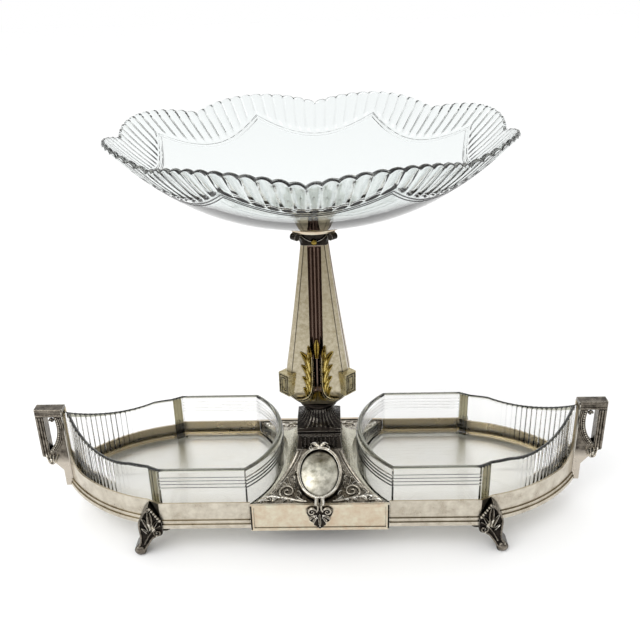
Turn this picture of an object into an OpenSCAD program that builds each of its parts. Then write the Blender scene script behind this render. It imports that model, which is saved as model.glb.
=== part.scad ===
// Table centrepiece: a plated boat-shaped frame with two lift-out glass dishes, and a stem that
// carries a lobed glass bowl. Millimetres, +Z up, origin on the table under the stem.

/* [Frame] */
// Height of the wing walls' lower edge over the table
foot_h = 26; // [23:1:32]
// Height of the wing walls on their straight part
wall_h = 24; // [20:1:30]
// Thickness of the wing walls
wall_t = 1.6; // [1.2:0.1:2.4]
// Half depth of the wings on their straight part
wing_hd = 65; // [61:0.5:70]
// Distance of the step in the wing walls from the middle
step_x = 134; // [124:1:145]
// Length of that step along the wing
step_run = 10.5; // [8:0.5:14]
// How far the step narrows the wing on each side
step_drop = 6; // [4:0.5:9]
// Length of the pointed end, from the step to the tip
end_len = 84; // [74:1:96]
// Half the angle that a side of the pointed end turns through
end_bow = 22; // [17:1:28]
// Radius of the sweep by which a wall rises to its tip
sweep_r = 15; // [12:1:18]
// Width of the strip that stands up at the tip
tip_strip = 4; // [3.5:0.5:6]
// Height of the wall's tip over its straight top edge
tip_rise = 53; // [46:1:54]
// Projection of the foot moulding on the wing walls
mould_out = 2.2; // [1.4:0.1:3]
// Height of the foot moulding
mould_h = 7; // [5:0.5:9]
// Thickness of the ledge plate that a dish stands on
ledge_t = 2; // [1.5:0.1:3]
// Height of the ledge over the wing walls' lower edge
ledge_up = 5.5; // [4:0.5:8]

/* [Dishes] */
// Height of a dish at its straight rim
dish_h = 47; // [40:1:54]
// Thickness of a dish's walls
dish_t = 4.5; // [3.5:0.1:6]
// Thickness of a dish's floor
dish_floor = 5; // [4:0.5:8]
// Clearance between a dish and the wing walls
dish_gap = 2; // [1:0.1:3]
// Radius of the bowed inner end of a dish
dish_end_r = 84; // [78:1:92]
// Distance of that inner end from the middle
dish_end_x = 33; // [31:0.5:40]
// Radius of the sweep by which the rim rises to the tip
rim_sweep_r = 64; // [60:1:72]
// Depth of the dip in the rim where that sweep begins
rim_dip = 2; // [1:0.5:4]
// Distance of that dip from the dish's tip
dip_in = 51; // [46:1:56]
// Number of moulded lines round the straight walls
line_n = 4; // [2:1:5]
// Spacing of those lines
line_pitch = 3.3; // [3:0.1:4]
// Depth of the first line under the rim
line_down = 7.5; // [6:0.5:9]
// Width of those lines
line_w = 1.4; // [1:0.1:1.8]
// Projection of those lines
line_out = 0.6; // [0.4:0.1:0.9]
// Number of upright flutes on each side of the pointed end
end_flutes = 15; // [8:1:18]
// Spacing of those flutes
end_flute_pitch = 5; // [4.4:0.1:5.4]
// Radius of those flutes
end_flute_r = 1.6; // [1.2:0.1:2]
// Distance of the first flute from the tip, as a share of their spacing
flute_first = 0.7; // [0.5:0.1:1]

/* [Handles] */
// Height of the handles over the wing walls' straight top edge
handle_up = 56; // [54:1:62]
// Reach of the handles beyond the tips of the wings
handle_out = 21; // [19:0.5:25]
// Width of the handles across the object
handle_w = 9; // [7:0.5:11]
// Thickness of the handle's outer bar
bar_t = 7.5; // [6:0.5:8]
// Thickness of the handle's top bar
bar_top = 8; // [7:0.5:10]
// Width of the finger opening
loop_w = 10; // [8:0.5:11]
// Height of that opening's foot over the wing walls
loop_up = 11.5; // [9:0.5:14]
// Projection of the keel under the opening
keel_out = 4; // [3:0.5:6]
// Place of the opening's widest bow, as a share of its height
loop_bow = 0.73; // [0.65:0.01:0.8]
// Radius of the curl at the foot of the outer bar
curl_r = 3.4; // [3:0.1:3.8]
// Depth of that curl under the opening
curl_down = 9.8; // [9:0.1:10.4]

/* [Feet] */
// Thickness of a foot, across the object
foot_w = 12; // [10:0.5:14]
// How far a foot's middle plane stands inside the wing wall's outer face
foot_in = 2.5; // [1:0.5:4]
// Reach of the leaf-shaped knee towards the middle
knee_in = 7; // [5:0.5:9]
// Reach of the knee to the outside
knee_out = 13; // [11:0.5:15]
// Width of the leg between knee and toe
leg_w = 8; // [6:0.5:10]
// Reach of the toe beyond the middle of the knee
toe_out = 14; // [12:0.5:16]
// Radius of the rolled toe
toe_r = 5; // [4:0.1:6]
// Radius of the scroll under the knee
scroll_r = 4.5; // [3.5:0.1:5.5]
// Depth of the flat sole cut under the toe
sole_cut = 0.6; // [0.3:0.1:1]
// Height of the pad that joins a foot to its screw boss
pad_h = 6; // [4:0.5:8]
// Radius of the screw boss
boss_r = 5; // [4:0.5:6]
// Diameter of the foot screws
foot_screw_d = 3; // [2.5:0.5:4]
// Distance of a foot screw from the step in the wing wall
screw_in = 2; // [1:0.5:4]
// Distance of the screw boss from the inside of the wing wall
boss_gap = 1; // [0.5:0.1:2]

/* [Pedestal] */
// Height of the pedestal's foot edge under the wing walls' top edge
flare_down = 2.5; // [1:0.5:4]
// Height of the concave slope, from its foot edge to the neck
slope_h = 24.5; // [22:0.5:28]
// Half width of the neck
neck_hw = 17.5; // [16:0.5:19]
// Run of the slope to the sides
slope_side = 37.5; // [34:0.5:41]
// Thickness of the pedestal's shell
ped_t = 3; // [2:0.5:4]
// Clearance between the pedestal and the dishes
ped_gap = 4; // [3:0.5:6]
// Height of the fluted neck
neck_h = 13; // [11:0.5:15]
// Number of flutes on each side of the neck
neck_flutes = 9; // [5:1:11]
// Radius of those flutes
neck_flute_r = 1.2; // [0.8:0.1:1.5]
// Plain margin at each end of those flutes
neck_margin = 1.5; // [1:0.1:2.5]
// Height of the square plinth
plinth_h = 6; // [5:0.5:8]
// Projection of the plinth's fillets
fillet_out = 1.2; // [0.8:0.1:2]
// Height of the plinth's lower fillet
low_fillet_h = 1.5; // [1:0.1:2]
// Height of the plinth's upper fillet
top_fillet_h = 2; // [1.5:0.1:2.5]
// Height of the ribbed roof on the plinth
roof_h = 16.5; // [14:0.5:19]
// Radius of the roof's narrow top
roof_r = 11; // [9:0.5:13]
// Number of ribs on that roof
roof_ribs = 32; // [16:4:40]
// Projection of those ribs
roof_rib_out = 0.9; // [0.6:0.1:1.2]
// Width of those ribs
roof_rib_w = 1; // [0.8:0.1:1.4]
// Height of the upright edge round the roof
roof_edge = 0.8; // [0.5:0.1:1.2]
// Thickness of the front and back panels
panel_t = 2.4; // [1.8:0.1:3.2]
// Width of the border round a panel
panel_edge = 2.6; // [1.8:0.1:3.6]
// Depth of the field inside that border
panel_sink = 0.8; // [0.4:0.1:1.2]
// How far a panel hangs below the wing walls
panel_drop = 3; // [1:0.5:5]
// How far a panel stands over the foot edge of the slope
panel_up = 1.5; // [0.5:0.5:3]
// Half width of the oval cartouche
oval_hw = 19; // [17:0.5:20]
// How far the cartouche reaches up over the neck
oval_up = 1.5; // [0:0.5:4]
// Place of the cartouche's lower end on the slope, in degrees from the neck's top
oval_end_angle = 83; // [80:1:84]
// Width of the cartouche's moulded rim
oval_rim = 2.4; // [1.6:0.1:3.2]
// Width of the groove between rim and shield
oval_groove = 1.2; // [0.8:0.1:1.8]
// Height of the shield's dome
shield_rise = 4; // [2.5:0.5:6]
// Half width of the palmette
palm_hw = 11; // [9:0.5:12]
// Height of the palmette's middle over the panel's
palm_up = 1.1; // [0:0.1:2]
// Thickness of the palmette
palm_t = 2.4; // [1.6:0.1:3.2]

/* [Stem] */
// Height of the round collar under the stem
collar_h = 7; // [5:0.5:8]
// Radius of the collar
collar_r = 16.5; // [15:0.5:18]
// How far the stem's foot stands inside the collar's edge
stem_in = 1; // [0.5:0.5:2]
// Height of the stem
stem_h = 140.5; // [125:0.5:158]
// Half width of the stem's foot, at the bulb
bulb_hw = 27.5; // [25:0.5:30]
// Height of the bulb's widest place over the stem's foot
bulb_up = 20; // [17:0.5:23]
// Roundness of the bulb's underside, from 1 for a plain slope
bulb_round = 1.4; // [1.2:0.1:2]
// Half width of the stem at its top
stem_top_hw = 10.8; // [10:0.2:13]
// Hollowness of the taper between bulb and top
taper_bow = 0.1; // [0:0.05:0.2]
// Width of a chamfered corner, as its leg along each face
corner = 3; // [2:0.5:4]
// Half width of the sunk pair of flutes on each face
flute_hw = 5.4; // [4:0.2:6]
// Depth of those flutes
flute_d = 2.6; // [1.5:0.1:3.2]
// Half width of the fillet between the two flutes
fillet_hw = 0.5; // [0.3:0.1:0.8]
// Width of a key block
key_w = 12; // [10:0.5:13]
// Height of a key block
key_h = 19; // [17:0.5:21]
// Projection of a key block from the corner
key_out = 2.8; // [2.2:0.1:4]
// Height of a key block's middle over the bulb's widest place
key_up = 6.5; // [5:0.5:8]
// Width of the strips of the key pattern
key_line = 1; // [0.8:0.1:1.1]
// Depth of that pattern
key_sink = 0.8; // [0.5:0.1:1.2]
// Length of the leaves
leaf_h = 57; // [52:1:62]
// Half width of the leaves
leaf_hw = 12.5; // [11:0.5:14]
// Height of the leaves' roots over the stem's foot
leaf_foot = 7; // [5:0.5:9]
// Thickness of the leaves
leaf_t = 2.2; // [1.5:0.1:3]

/* [Capital] */
// Height of the capital
capital_h = 11.5; // [10:0.5:14]
// Half width of the capital at its top
capital_hw = 16.5; // [14:0.5:19]
// Radius of the corner volutes
volute_r = 2.8; // [2.2:0.2:3.6]
// Radius of the hollow in each side of the capital
hollow_r = 10.2; // [9:0.2:11.4]
// Height of that hollow's middle over the capital
hollow_up = 2; // [1:0.5:3]
// How far the hollow goes behind the stem's face
hollow_in = 0.6; // [0.3:0.1:1]
// Radius of the gilt buds on the capital
drop_r = 2.4; // [2:0.1:2.8]
// Height of the buds over the stem
drop_up = 0.4; // [0.2:0.1:0.8]
// Distance of the buds' middle from the stem's face
drop_out = 0.6; // [0.4:0.1:1]
// Height of the moulded ring over the capital
ring_h = 4; // [3:0.5:6]
// Radius of that ring at its top
ring_r = 25; // [22:0.5:28]
// Radius of that ring at its foot
ring_foot_r = 19.2; // [17:0.2:21]
// Width of the cove's lower lip on that ring
ring_lip = 1.5; // [1:0.1:2]
// Height of the calyx that holds the bowl
calyx_h = 9.5; // [9:0.5:12]
// Radius of the calyx at its rim
calyx_r = 30; // [27:0.5:34]
// Height of the plain lip of the calyx
calyx_lip = 2; // [1.5:0.1:3]
// Number of ribs on the calyx
calyx_ribs = 24; // [12:2:32]
// Projection of those ribs
calyx_rib_out = 0.8; // [0.5:0.1:1.2]
// Width of those ribs
calyx_rib_w = 1.2; // [0.8:0.1:1.6]
// Thickness of the calyx round the bowl's peg
socket_t = 3; // [2:0.5:4]

/* [Bowl] */
// Radius of the bowl at the tips of its lobes
bowl_r = 153; // [146:1:162]
// Height of the bowl over its seat
bowl_h = 66; // [56:1:76]
// Radius of the bowl's flat seat
seat_r = 27; // [24:0.5:29]
// Upright thickness of the bowl's wall
bowl_t = 5.2; // [4.4:0.2:7]
// Thickness of the bowl's rim
bowl_rim_t = 3; // [2:0.5:4]
// Power of the bowl's curve, from 1 for a plain cone
bowl_curve = 2.2; // [1.8:0.1:2.6]
// Number of lobes
lobes = 8; // [6:1:10]
// Depth of the notch between two lobes
lobe_notch = 7.4; // [4:0.2:10]
// Number of flutes in one lobe
lobe_flutes = 12; // [10:2:14]
// Depth of a flute
bowl_flute_d = 1.1; // [0.6:0.1:1.6]
// Radius of the swag line under a lobe's tip
swag_high = 139.5; // [132:0.5:140]
// Radius of the swag line under a notch
swag_low = 121.5; // [112:0.5:128]
// Radius of the peg under the bowl
peg_r = 10; // [8:0.5:11]
// Length of the peg
peg_h = 5; // [3.5:0.5:5.5]

/* [Fixings] */
// Diameter of the tie rod
rod_d = 6; // [5:0.5:8]
// Length of the tie rod beyond the nut, and in the calyx
rod_end = 2.5; // [2:0.5:3]
// Thickness of the clamp nut
nut_h = 5; // [4:0.5:7]
// Thickness of the washer under it
washer_t = 2; // [1:0.5:3]
// Diameter of the washer
washer_d = 18; // [15:0.5:22]
// Width of the clamp nut over its corners
nut_d = 12; // [11:0.5:15]
// Clearance between pieces that are fixed together
fit = 0.15; // [0.1:0.05:0.25]
// Clearance between the bowl's peg and its socket
peg_gap = 0.4; // [0.3:0.1:0.8]
// Clearance round the tie rod
rod_gap = 0.3; // [0.2:0.1:0.5]

/* [Hidden] */
$fn = 64;
SIDES = ["left", "right"];
ENDS = ["front", "back"];
CORNERS = ["front_right", "back_right", "back_left", "front_left"];

silver = "#b9b2a2";
dark_silver = "#6d675d";
gilt = "#a58f3c";
clear_glass = [0.86, 0.92, 0.90, 0.45];
far = 400;

// Levels, from the table upwards
wall_top = foot_h + wall_h;
ledge_top = foot_h + ledge_up + ledge_t;
dish_rim = ledge_top + dish_h;
flare_z = wall_top - flare_down;
ped_top = flare_z + slope_h;
neck_top = ped_top + neck_h;
plinth_top = neck_top + plinth_h;
roof_top = plinth_top + roof_h;
stem_z = roof_top + collar_h;
capital_z = stem_z + stem_h;
ring_z = capital_z + capital_h;
calyx_z = ring_z + ring_h;
seat_z = calyx_z + calyx_h;

loop_foot = wall_top + loop_up;

// Plan of the wings
step_end = step_x + step_run;
step_hd = wing_hd - step_drop;
tip_x = step_end + end_len;
chord = norm([end_len, step_hd]);
chord_angle = atan2(step_hd, end_len);
end_r = chord / (2 * sin(end_bow));
end_c = [step_end + end_len / 2, step_hd / 2]
  - end_r * cos(end_bow) * [sin(chord_angle), cos(chord_angle)];
step_angle = atan2(step_drop, step_run);
dish_inset = wall_t + dish_gap;
dish_cx = dish_end_x + dish_end_r;
dish_arc_r = end_r - dish_inset;
dish_tip_angle = asin(-end_c[1] / dish_arc_r);
ped_end_r = dish_end_r + ped_gap;
panel_hw = dish_cx - sqrt(pow(ped_end_r, 2) - pow(wing_hd, 2));

// Slope of the pedestal
slope_front = wing_hd - neck_hw;
slope_rise = slope_h + neck_h;
slope_start = asin(neck_h / slope_rise);
slope_steps = 14;

// Oval cartouche, on the chord of the front slope
oval_top = slope_at(neck_hw, slope_front, asin((neck_h - oval_up) / slope_rise), 0);
oval_foot = slope_at(neck_hw, slope_front, oval_end_angle, 0);
oval_mid = (oval_top + oval_foot) / 2;
oval_hh = norm(oval_top - oval_foot) / 2;
oval_deep = slope_rise / 2;
oval_tilt = atan2(oval_top[1] - oval_foot[1], oval_foot[0] - oval_top[0]);
deck_z = ped_top - ped_t;
rod_top = calyx_z + rod_end;
rod_foot = deck_z - washer_t - nut_h - rod_end;

// A point of the pedestal's concave slope, moved out by t; the angle runs from the neck, 0, down to 90
function slope_at(hw, run, angle, t) =
  let (n = [cos(angle) / run, sin(angle) / slope_rise], u = n / norm(n))
  [hw + run * (1 - cos(angle)), neck_top - slope_rise * sin(angle)] + t * u;

// A closed solid through level rings round the Z axis, each of as many points, counter-clockwise.
// A tube's last ring joins its first; any other solid ends in a flat face at each end.
module loft(rings, tube = false) {
  n = len(rings[0]);
  m = len(rings);
  sides = [for (k = [0 : tube ? m - 1 : m - 2], i = [0 : n - 1])
    let (j = (i + 1) % n, low = k * n, high = (k + 1) % m * n)
    each [[low + i, high + i, high + j], [low + i, high + j, low + j]]];
  caps = [for (i = [0 : n - 1]) let (j = (i + 1) % n, top = (m - 1) * n)
    each [[i, j, m * n], [top + j, top + i, m * n + 1]]];
  middles = [[0, 0, rings[0][0][2]], [0, 0, rings[m - 1][0][2]]];
  polyhedron(concat([for (r = rings) each r], tube ? [] : middles), concat(sides, tube ? [] : caps),
    convexity = 8);
}

module raise(z0, z1) {
  translate([0, 0, z0]) linear_extrude(z1 - z0) children();
}

module on_side(side) {
  mirror([side == "left" ? 1 : 0, 0, 0]) children();
}

module on_end(end) {
  rotate([0, 0, end == "back" ? 180 : 0]) children();
}

// Wings

// Outside of the wing walls moved outwards by t, from the middle to the tip
module wing_outline(t) {
  h = wing_hd + t;
  x = step_x + t * tan(step_angle / 2);
  past = 1.5;
  inner = [x + past * step_run, h - past * step_drop];
  polygon([[0, -h], [x, -h], [inner[0], -inner[1]], inner, [x, h], [0, h]]);
  intersection() {
    translate([end_c[0], end_c[1]]) circle(end_r + t);
    translate([end_c[0], -end_c[1]]) circle(end_r + t);
    translate([step_end - step_run / 2, -far]) square([far, 2 * far]);
  }
}

// Outside of a dish moved outwards by t
module dish_outline(t) {
  intersection() {
    wing_outline(t - dish_inset);
    union() {
      translate([dish_cx, 0]) circle(dish_end_r + t);
      translate([dish_cx, -far]) square([far, 2 * far]);
    }
  }
}

// Space over an edge that is level up to x and then sweeps up from height z along an arc of radius r
module over_sweep(x, z, r, level) {
  translate([x, 0, z + r]) rotate([90, 0, 0]) cylinder(r = r, h = far, center = true);
  translate([x - far, -far / 2, level]) cube([far, far, far]);
}

module beyond_panel() {
  translate([panel_hw + fit, -far / 2, 0]) cube([far, far, far]);
}

module wing(side) {
  strip_x = tip_x - tip_strip;
  on_side(side) color(silver) intersection() {
    beyond_panel();
    difference() {
      union() {
        raise(foot_h, wall_top + tip_rise) wing_outline(0);
        raise(foot_h, foot_h + mould_h) wing_outline(mould_out / 2);
        raise(foot_h, foot_h + mould_h / 2) wing_outline(mould_out);
      }
      raise(foot_h - 1, wall_top + tip_rise + 1) wing_outline(-wall_t);
      over_sweep(strip_x - sweep_r, wall_top, sweep_r, wall_top);
      translate([0, -far / 2, wall_top + sweep_r]) cube([strip_x, far, far]);
    }
  }
}

// Room that a wing takes from height z upwards, for what is set against it
module wall_space(z) {
  raise(z, wall_top + tip_rise + fit) wing_outline(fit);
  raise(z, foot_h + mould_h + fit) wing_outline(mould_out / 2 + fit);
  raise(z, foot_h + mould_h / 2 + fit) wing_outline(mould_out + fit);
}

// Plate that closes the bottom of a wing and carries its dish
module ledge(side) {
  on_side(side) color(silver) difference() {
    raise(ledge_top - ledge_t, ledge_top) intersection() {
      wing_outline(-wall_t - fit);
      union() {
        translate([dish_cx, 0]) circle(ped_end_r - fit);
        translate([dish_cx, -far]) square([far, 2 * far]);
      }
    }
    for (y = [-1, 1]) foot_screw_place(y) cylinder(d = foot_screw_d + 2 * fit, h = far, center = true);
  }
}

// Handles

// Side view of a handle: a keel on the wing's tip, a bracket, an upright bar with a curled foot, a top bar
module handle_profile() {
  x0 = tip_x - tip_strip;
  x1 = tip_x + handle_out;
  z1 = wall_top + handle_up;
  difference() {
    union() {
      polygon([[x0, foot_h], [tip_x + keel_out, foot_h], [tip_x + keel_out, wall_top - bar_t],
        [x1 - bar_t, loop_foot - bar_t], [x1, loop_foot - bar_t / 2], [x1, z1], [x0, z1]]);
      translate([x1 - bar_t, loop_foot - curl_down]) circle(curl_r);
    }
    handle_opening();
  }
}

// D-shaped finger opening: straight along the outer bar and bowed towards the wing
module handle_opening() {
  x = tip_x + handle_out - bar_t;
  loop_h = wall_top + handle_up - bar_top - loop_foot;
  intersection() {
    translate([x - loop_w, loop_foot]) square([loop_w, loop_h]);
    translate([x - loop_w + loop_h, loop_foot + loop_bow * loop_h]) circle(loop_h);
  }
}

module handle(side) {
  on_side(side) color(dark_silver) difference() {
    rotate([90, 0, 0]) linear_extrude(handle_w, center = true) handle_profile();
    wall_space(0);
  }
}

// Feet

// Middle of a foot's knee, at the step of the wing's front (-1) or back (1) wall
knee_x = step_x + step_run / 2;
foot_y = wing_hd - foot_in;

module foot_screw_place(y) {
  translate([step_x - screw_in, y * (wing_hd - wall_t - boss_r - boss_gap), 0]) children();
}

// Side view of a foot: a leaf that covers the step in the wall, a leg, a rolled toe and a scroll, its
// corners as shares of its sizes
module foot_profile() {
  toe = [toe_out, toe_r - sole_cut];
  scroll = [-knee_in + scroll_r, foot_h - scroll_r / 2];
  moulding = foot_h + mould_h;
  polygon([
    [0, scroll[1] - scroll_r / 2],
    [knee_out - leg_w, foot_h * 0.5],
    [toe[0] - toe_r * 0.9, toe[1]],
    [toe[0] + toe_r * 0.8, toe[1] + toe_r * 0.6],
    [knee_out - 0.5, toe[1] + 2 * toe_r],
    [knee_out, moulding],
    [knee_out * 0.65, wall_top - mould_h],
    [knee_out * 0.25, wall_top],
    [-knee_in, moulding],
    [-knee_in, scroll[1]]]);
  translate(toe) circle(toe_r);
  translate(scroll) circle(scroll_r);
}

module foot(side, y) {
  on_side(side) color(dark_silver) difference() {
    union() {
      difference() {
        translate([knee_x, y * foot_y, 0]) rotate([90, 0, 0]) linear_extrude(foot_w, center = true)
          foot_profile();
        wall_space(foot_h - fit);
      }
      foot_screw_place(y) {
        translate([0, 0, foot_h - pad_h]) cylinder(r = boss_r, h = ledge_top - ledge_t - foot_h + pad_h);
        translate([0, -boss_r, foot_h - pad_h]) cube([knee_in + boss_r, 2 * boss_r, pad_h - fit]);
      }
    }
    foot_screw_place(y) cylinder(d = foot_screw_d + 2 * fit, h = far, center = true);
    translate([-far, -far, -far]) cube([2 * far, 2 * far, far]);
  }
}

module foot_screws() {
  color(dark_silver) for (side = SIDES, y = [-1, 1])
    on_side(side) foot_screw_place(y)
      translate([0, 0, foot_h - pad_h]) cylinder(d = foot_screw_d, h = ledge_top - foot_h + pad_h);
}

// Pedestal

module ped_plan(t) {
  difference() {
    square([2 * dish_cx, 2 * (wing_hd + t)], center = true);
    for (x = [-1, 1]) translate([x * dish_cx, 0]) circle(ped_end_r - t);
  }
}

// Section through the concave slope, with half width hw at the neck, moved out by t
module slope_section(hw, run, t) {
  angles = [for (i = [0 : slope_steps]) slope_start + (90 - slope_start) * i / slope_steps];
  half = [for (a = angles) slope_at(hw, run, a, t)];
  foot = [hw + run + far, flare_z + t];
  top = [half[0][0], ped_top + t];
  right = concat([top], [for (p = half) if (p[1] < ped_top + t) p], [foot, [foot[0], -1]]);
  polygon(concat(right, [for (i = [len(right) - 1 : -1 : 0]) [-right[i][0], right[i][1]]]));
}

// Slope of the front and back, as an endless bar along X
module front_slope(t) {
  rotate([90, 0, 90]) linear_extrude(far, center = true) slope_section(neck_hw, slope_front, t);
}

module side_slope(t) {
  rotate([90, 0, 0]) linear_extrude(far, center = true) slope_section(neck_hw, slope_side, t);
}

module ped_form(z0, t) {
  intersection() {
    raise(z0, ped_top + t) ped_plan(t);
    front_slope(t);
    side_slope(t);
  }
}

module pedestal() {
  color(silver) difference() {
    ped_form(foot_h, 0);
    ped_form(foot_h - 1, -ped_t);
    cylinder(d = rod_d + 2 * rod_gap, h = far);
  }
}

module panel(end) {
  z0 = foot_h - panel_drop;
  z1 = flare_z + panel_up;
  on_end(end) color(silver) difference() {
    translate([-panel_hw, -wing_hd - panel_t, z0]) cube([2 * panel_hw, panel_t, z1 - z0]);
    translate([-panel_hw + panel_edge, -wing_hd - panel_t - 1, z0 + panel_edge])
      cube([2 * (panel_hw - panel_edge), 1 + panel_sink, z1 - z0 - 2 * panel_edge]);
  }
}

// Cartouche

module oval(inset) {
  steps = 48;
  polygon([for (i = [0 : steps - 1])
    [(oval_hw - inset) * cos(360 * i / steps), (oval_hh - inset) * sin(360 * i / steps)]]);
}

// Plane of the cartouche: X across, Y up the slope, Z outwards
module on_cartouche() {
  translate([0, -oval_mid[0], oval_mid[1]]) rotate([oval_tilt, 0, 0]) children();
}

module cartouche(end) {
  on_end(end) color(dark_silver) difference() {
    on_cartouche() translate([0, 0, -oval_deep]) linear_extrude(oval_deep + oval_rim) difference() {
      oval(0);
      oval(oval_rim);
    }
    ped_form(foot_h, fit);
    neck_form(fit);
    panel_space();
  }
}

module shield(end) {
  dome_r = (pow(oval_hw, 2) + pow(shield_rise, 2)) / (2 * shield_rise);
  inset = oval_rim + oval_groove;
  on_end(end) color(silver) difference() {
    on_cartouche() intersection() {
      translate([0, 0, -oval_deep]) linear_extrude(2 * oval_deep) oval(inset);
      translate([0, 0, shield_rise - dome_r]) sphere(dome_r);
    }
    ped_form(foot_h, fit);
    neck_form(fit);
    panel_space();
  }
}

// Room that the panel takes, for what is set against it
module panel_space() {
  translate([-panel_hw, -far, foot_h - panel_drop])
    cube([2 * panel_hw, far - wing_hd + fit, flare_z + panel_up + fit - foot_h + panel_drop]);
}

// Heart-shaped palmette with two scrolled shoulders and a scalloped point, each corner of one half as
// shares of its half width; its back is cut away where it passes over the panel's border
module palmette(end) {
  y = wing_hd + panel_t + fit;
  z = (flare_z + foot_h) / 2 + palm_up;
  half = [[0, 0.55], [0.25, 0.78], [0.6, 0.88], [0.9, 0.75], [1, 0.45], [0.9, 0.15], [0.76, 0.02],
    [0.8, -0.25], [0.64, -0.44], [0.5, -0.48], [0.44, -0.74], [0.26, -0.84], [0, -1.1]];
  right = [for (p = half) palm_hw * p];
  left = [for (i = [len(right) - 2 : -1 : 1]) [-right[i][0], right[i][1]]];
  on_end(end) color(dark_silver) difference() {
    translate([0, panel_sink - y, z]) rotate([90, 0, 0]) linear_extrude(palm_t)
      polygon(concat(right, left));
    for (foot = [flare_z + panel_up - panel_edge - fit, foot_h - panel_drop + panel_edge + fit - far])
      translate([-far / 2, -y, foot]) cube([far, far, far]);
  }
}

// Neck and plinth

// Flared square neck, moved out by t
module neck_form(t) {
  runs = [slope_front, slope_side];
  intersection_for(k = [0, 1]) rotate([90, 0, 90 * (1 - k)]) linear_extrude(far, center = true)
    let (foot = slope_at(neck_hw, runs[k], slope_start, 0)[0] + t, top = neck_hw + t)
      polygon([[-foot, ped_top], [foot, ped_top], [top, neck_top + t], [-top, neck_top + t]]);
}

module fluted_neck() {
  color(dark_silver) difference() {
    neck_form(0);
    for (a = [0 : 90 : 270]) rotate(a)
      let (foot = slope_at(neck_hw, a % 180 == 0 ? slope_front : slope_side, slope_start, 0)[0],
        lean = atan2(foot - neck_hw, neck_h))
        for (i = [1 : neck_flutes]) translate([(2 * i / (neck_flutes + 1) - 1) * neck_hw, -foot, ped_top])
          rotate([-lean, 0, 0]) translate([0, 0, neck_margin])
            cylinder(r = neck_flute_r, h = neck_h - 2 * neck_margin);
    cylinder(d = rod_d + 2 * rod_gap, h = far);
  }
}

// Square slab with a hollow fillet band, and a round roof with ribs that fan from the collar
module plinth() {
  hw = neck_hw + fillet_out;
  color(dark_silver) difference() {
    union() {
      raise(neck_top, neck_top + low_fillet_h) square(2 * hw, center = true);
      raise(neck_top, plinth_top) square(2 * neck_hw, center = true);
      raise(plinth_top - top_fillet_h, plinth_top) square(2 * hw, center = true);
      intersection() {
        raise(plinth_top, roof_top) square(2 * hw, center = true);
        union() {
          roof(0);
          for (i = [0 : roof_ribs - 1]) rotate(360 * (i + 0.5) / roof_ribs) intersection() {
            roof(roof_rib_out);
            translate([roof_r, -roof_rib_w / 2, plinth_top]) cube([2 * hw, roof_rib_w, roof_h]);
          }
        }
      }
    }
    cylinder(d = rod_d + 2 * rod_gap, h = far);
  }
}

// Hollow-sided cone under the collar, moved out by t
module roof(t) {
  foot_r = (neck_hw + fillet_out) * sqrt(2);
  run = foot_r - roof_r;
  steps = 6;
  rotate_extrude() polygon(concat([[0, plinth_top], [foot_r + t, plinth_top]],
    [for (i = [0 : steps]) let (a = 90 * i / steps)
      [foot_r - run * sin(a) + t, plinth_top + roof_edge + (roof_h - roof_edge) * (1 - cos(a))]],
    [[0, roof_top]]));
}

// Stem

module stem_collar() {
  color(dark_silver) difference() {
    rotate_extrude() {
      translate([0, roof_top]) square([collar_r - collar_h / 2, collar_h]);
      translate([collar_r - collar_h / 2, roof_top + collar_h / 2]) circle(collar_h / 2);
    }
    cylinder(d = rod_d + 2 * rod_gap, h = far);
  }
}

stem_foot_hw = collar_r - stem_in;
// Leg of a chamfer where the stem would end in a point
corner_end = 1;
// Largest half width of the flutes, as a share of the stem's half width
flute_share = 0.6;
// Number of rings in the bulb and in the taper, and where the flutes begin, in rings over the bulb
bulb_rings = 8;
taper_rings = 8;
flute_start = 0.06;

// Half width of the stem at height z over its foot: a bulb below, then a slightly hollow taper
function stem_hw(z) =
  z < bulb_up
    ? stem_foot_hw + (bulb_hw - stem_foot_hw) * (1 - pow(1 - z / bulb_up, bulb_round))
    : let (s = (z - bulb_up) / (stem_h - bulb_up))
      bulb_hw + (stem_top_hw - bulb_hw) * ((1 + taper_bow) * s - taper_bow * s * s);

// Leg of a chamfered corner where the stem's half width is w
function stem_corner(w) = corner * w / bulb_hw + corner_end;

// A ring with four like faces; each point of a face is given by its distance from the axis and its
// place along the face
function four_sided(face, z) = [for (a = [0 : 90 : 270], p = face)
  [p[0] * cos(a) - p[1] * sin(a), p[0] * sin(a) + p[1] * cos(a), z]];

// One ring of the stem: a square with chamfered corners and a sunk pair of flutes on each face
function stem_ring(z, sunk) =
  let (w = stem_hw(z), c = stem_corner(w), f = min(flute_hw, flute_share * w), d = w - sunk * flute_d,
    half = [[(w + d) / 2, fillet_hw], [d - sunk, f / 2], [d, f - fillet_hw], [w, f], [w, w - c]])
  four_sided(concat([for (i = [len(half) - 1 : -1 : 0]) [half[i][0], -half[i][1]]], half), stem_z + z);

stem_levels = concat([for (i = [0 : bulb_rings]) bulb_up * (1 - cos(90 * i / bulb_rings))],
  [for (i = [0 : taper_rings]) bulb_up + (stem_h - bulb_up) * max(i, flute_start) / taper_rings]);

// The same rings without flutes, grown by t, as the room that the stem takes
function plain_rings(t) = [for (z = stem_levels) let (w = stem_hw(z) + t, c = stem_corner(w))
  four_sided([[w, -w + c], [w, w - c]], stem_z + z)];

function stem_rings() = [for (z = stem_levels) stem_ring(z, z > bulb_up ? 1 : 0)];

module stem() {
  outside = stem_rings();
  bore_r = rod_d / 2 + rod_gap;
  bore = [for (k = [len(outside) - 1, 0]) [for (p = outside[k])
    let (d = norm([p[0], p[1]])) [p[0] * bore_r / d, p[1] * bore_r / d, p[2]]]];
  color(silver) loft(concat(outside, bore), tube = true);
}

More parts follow.
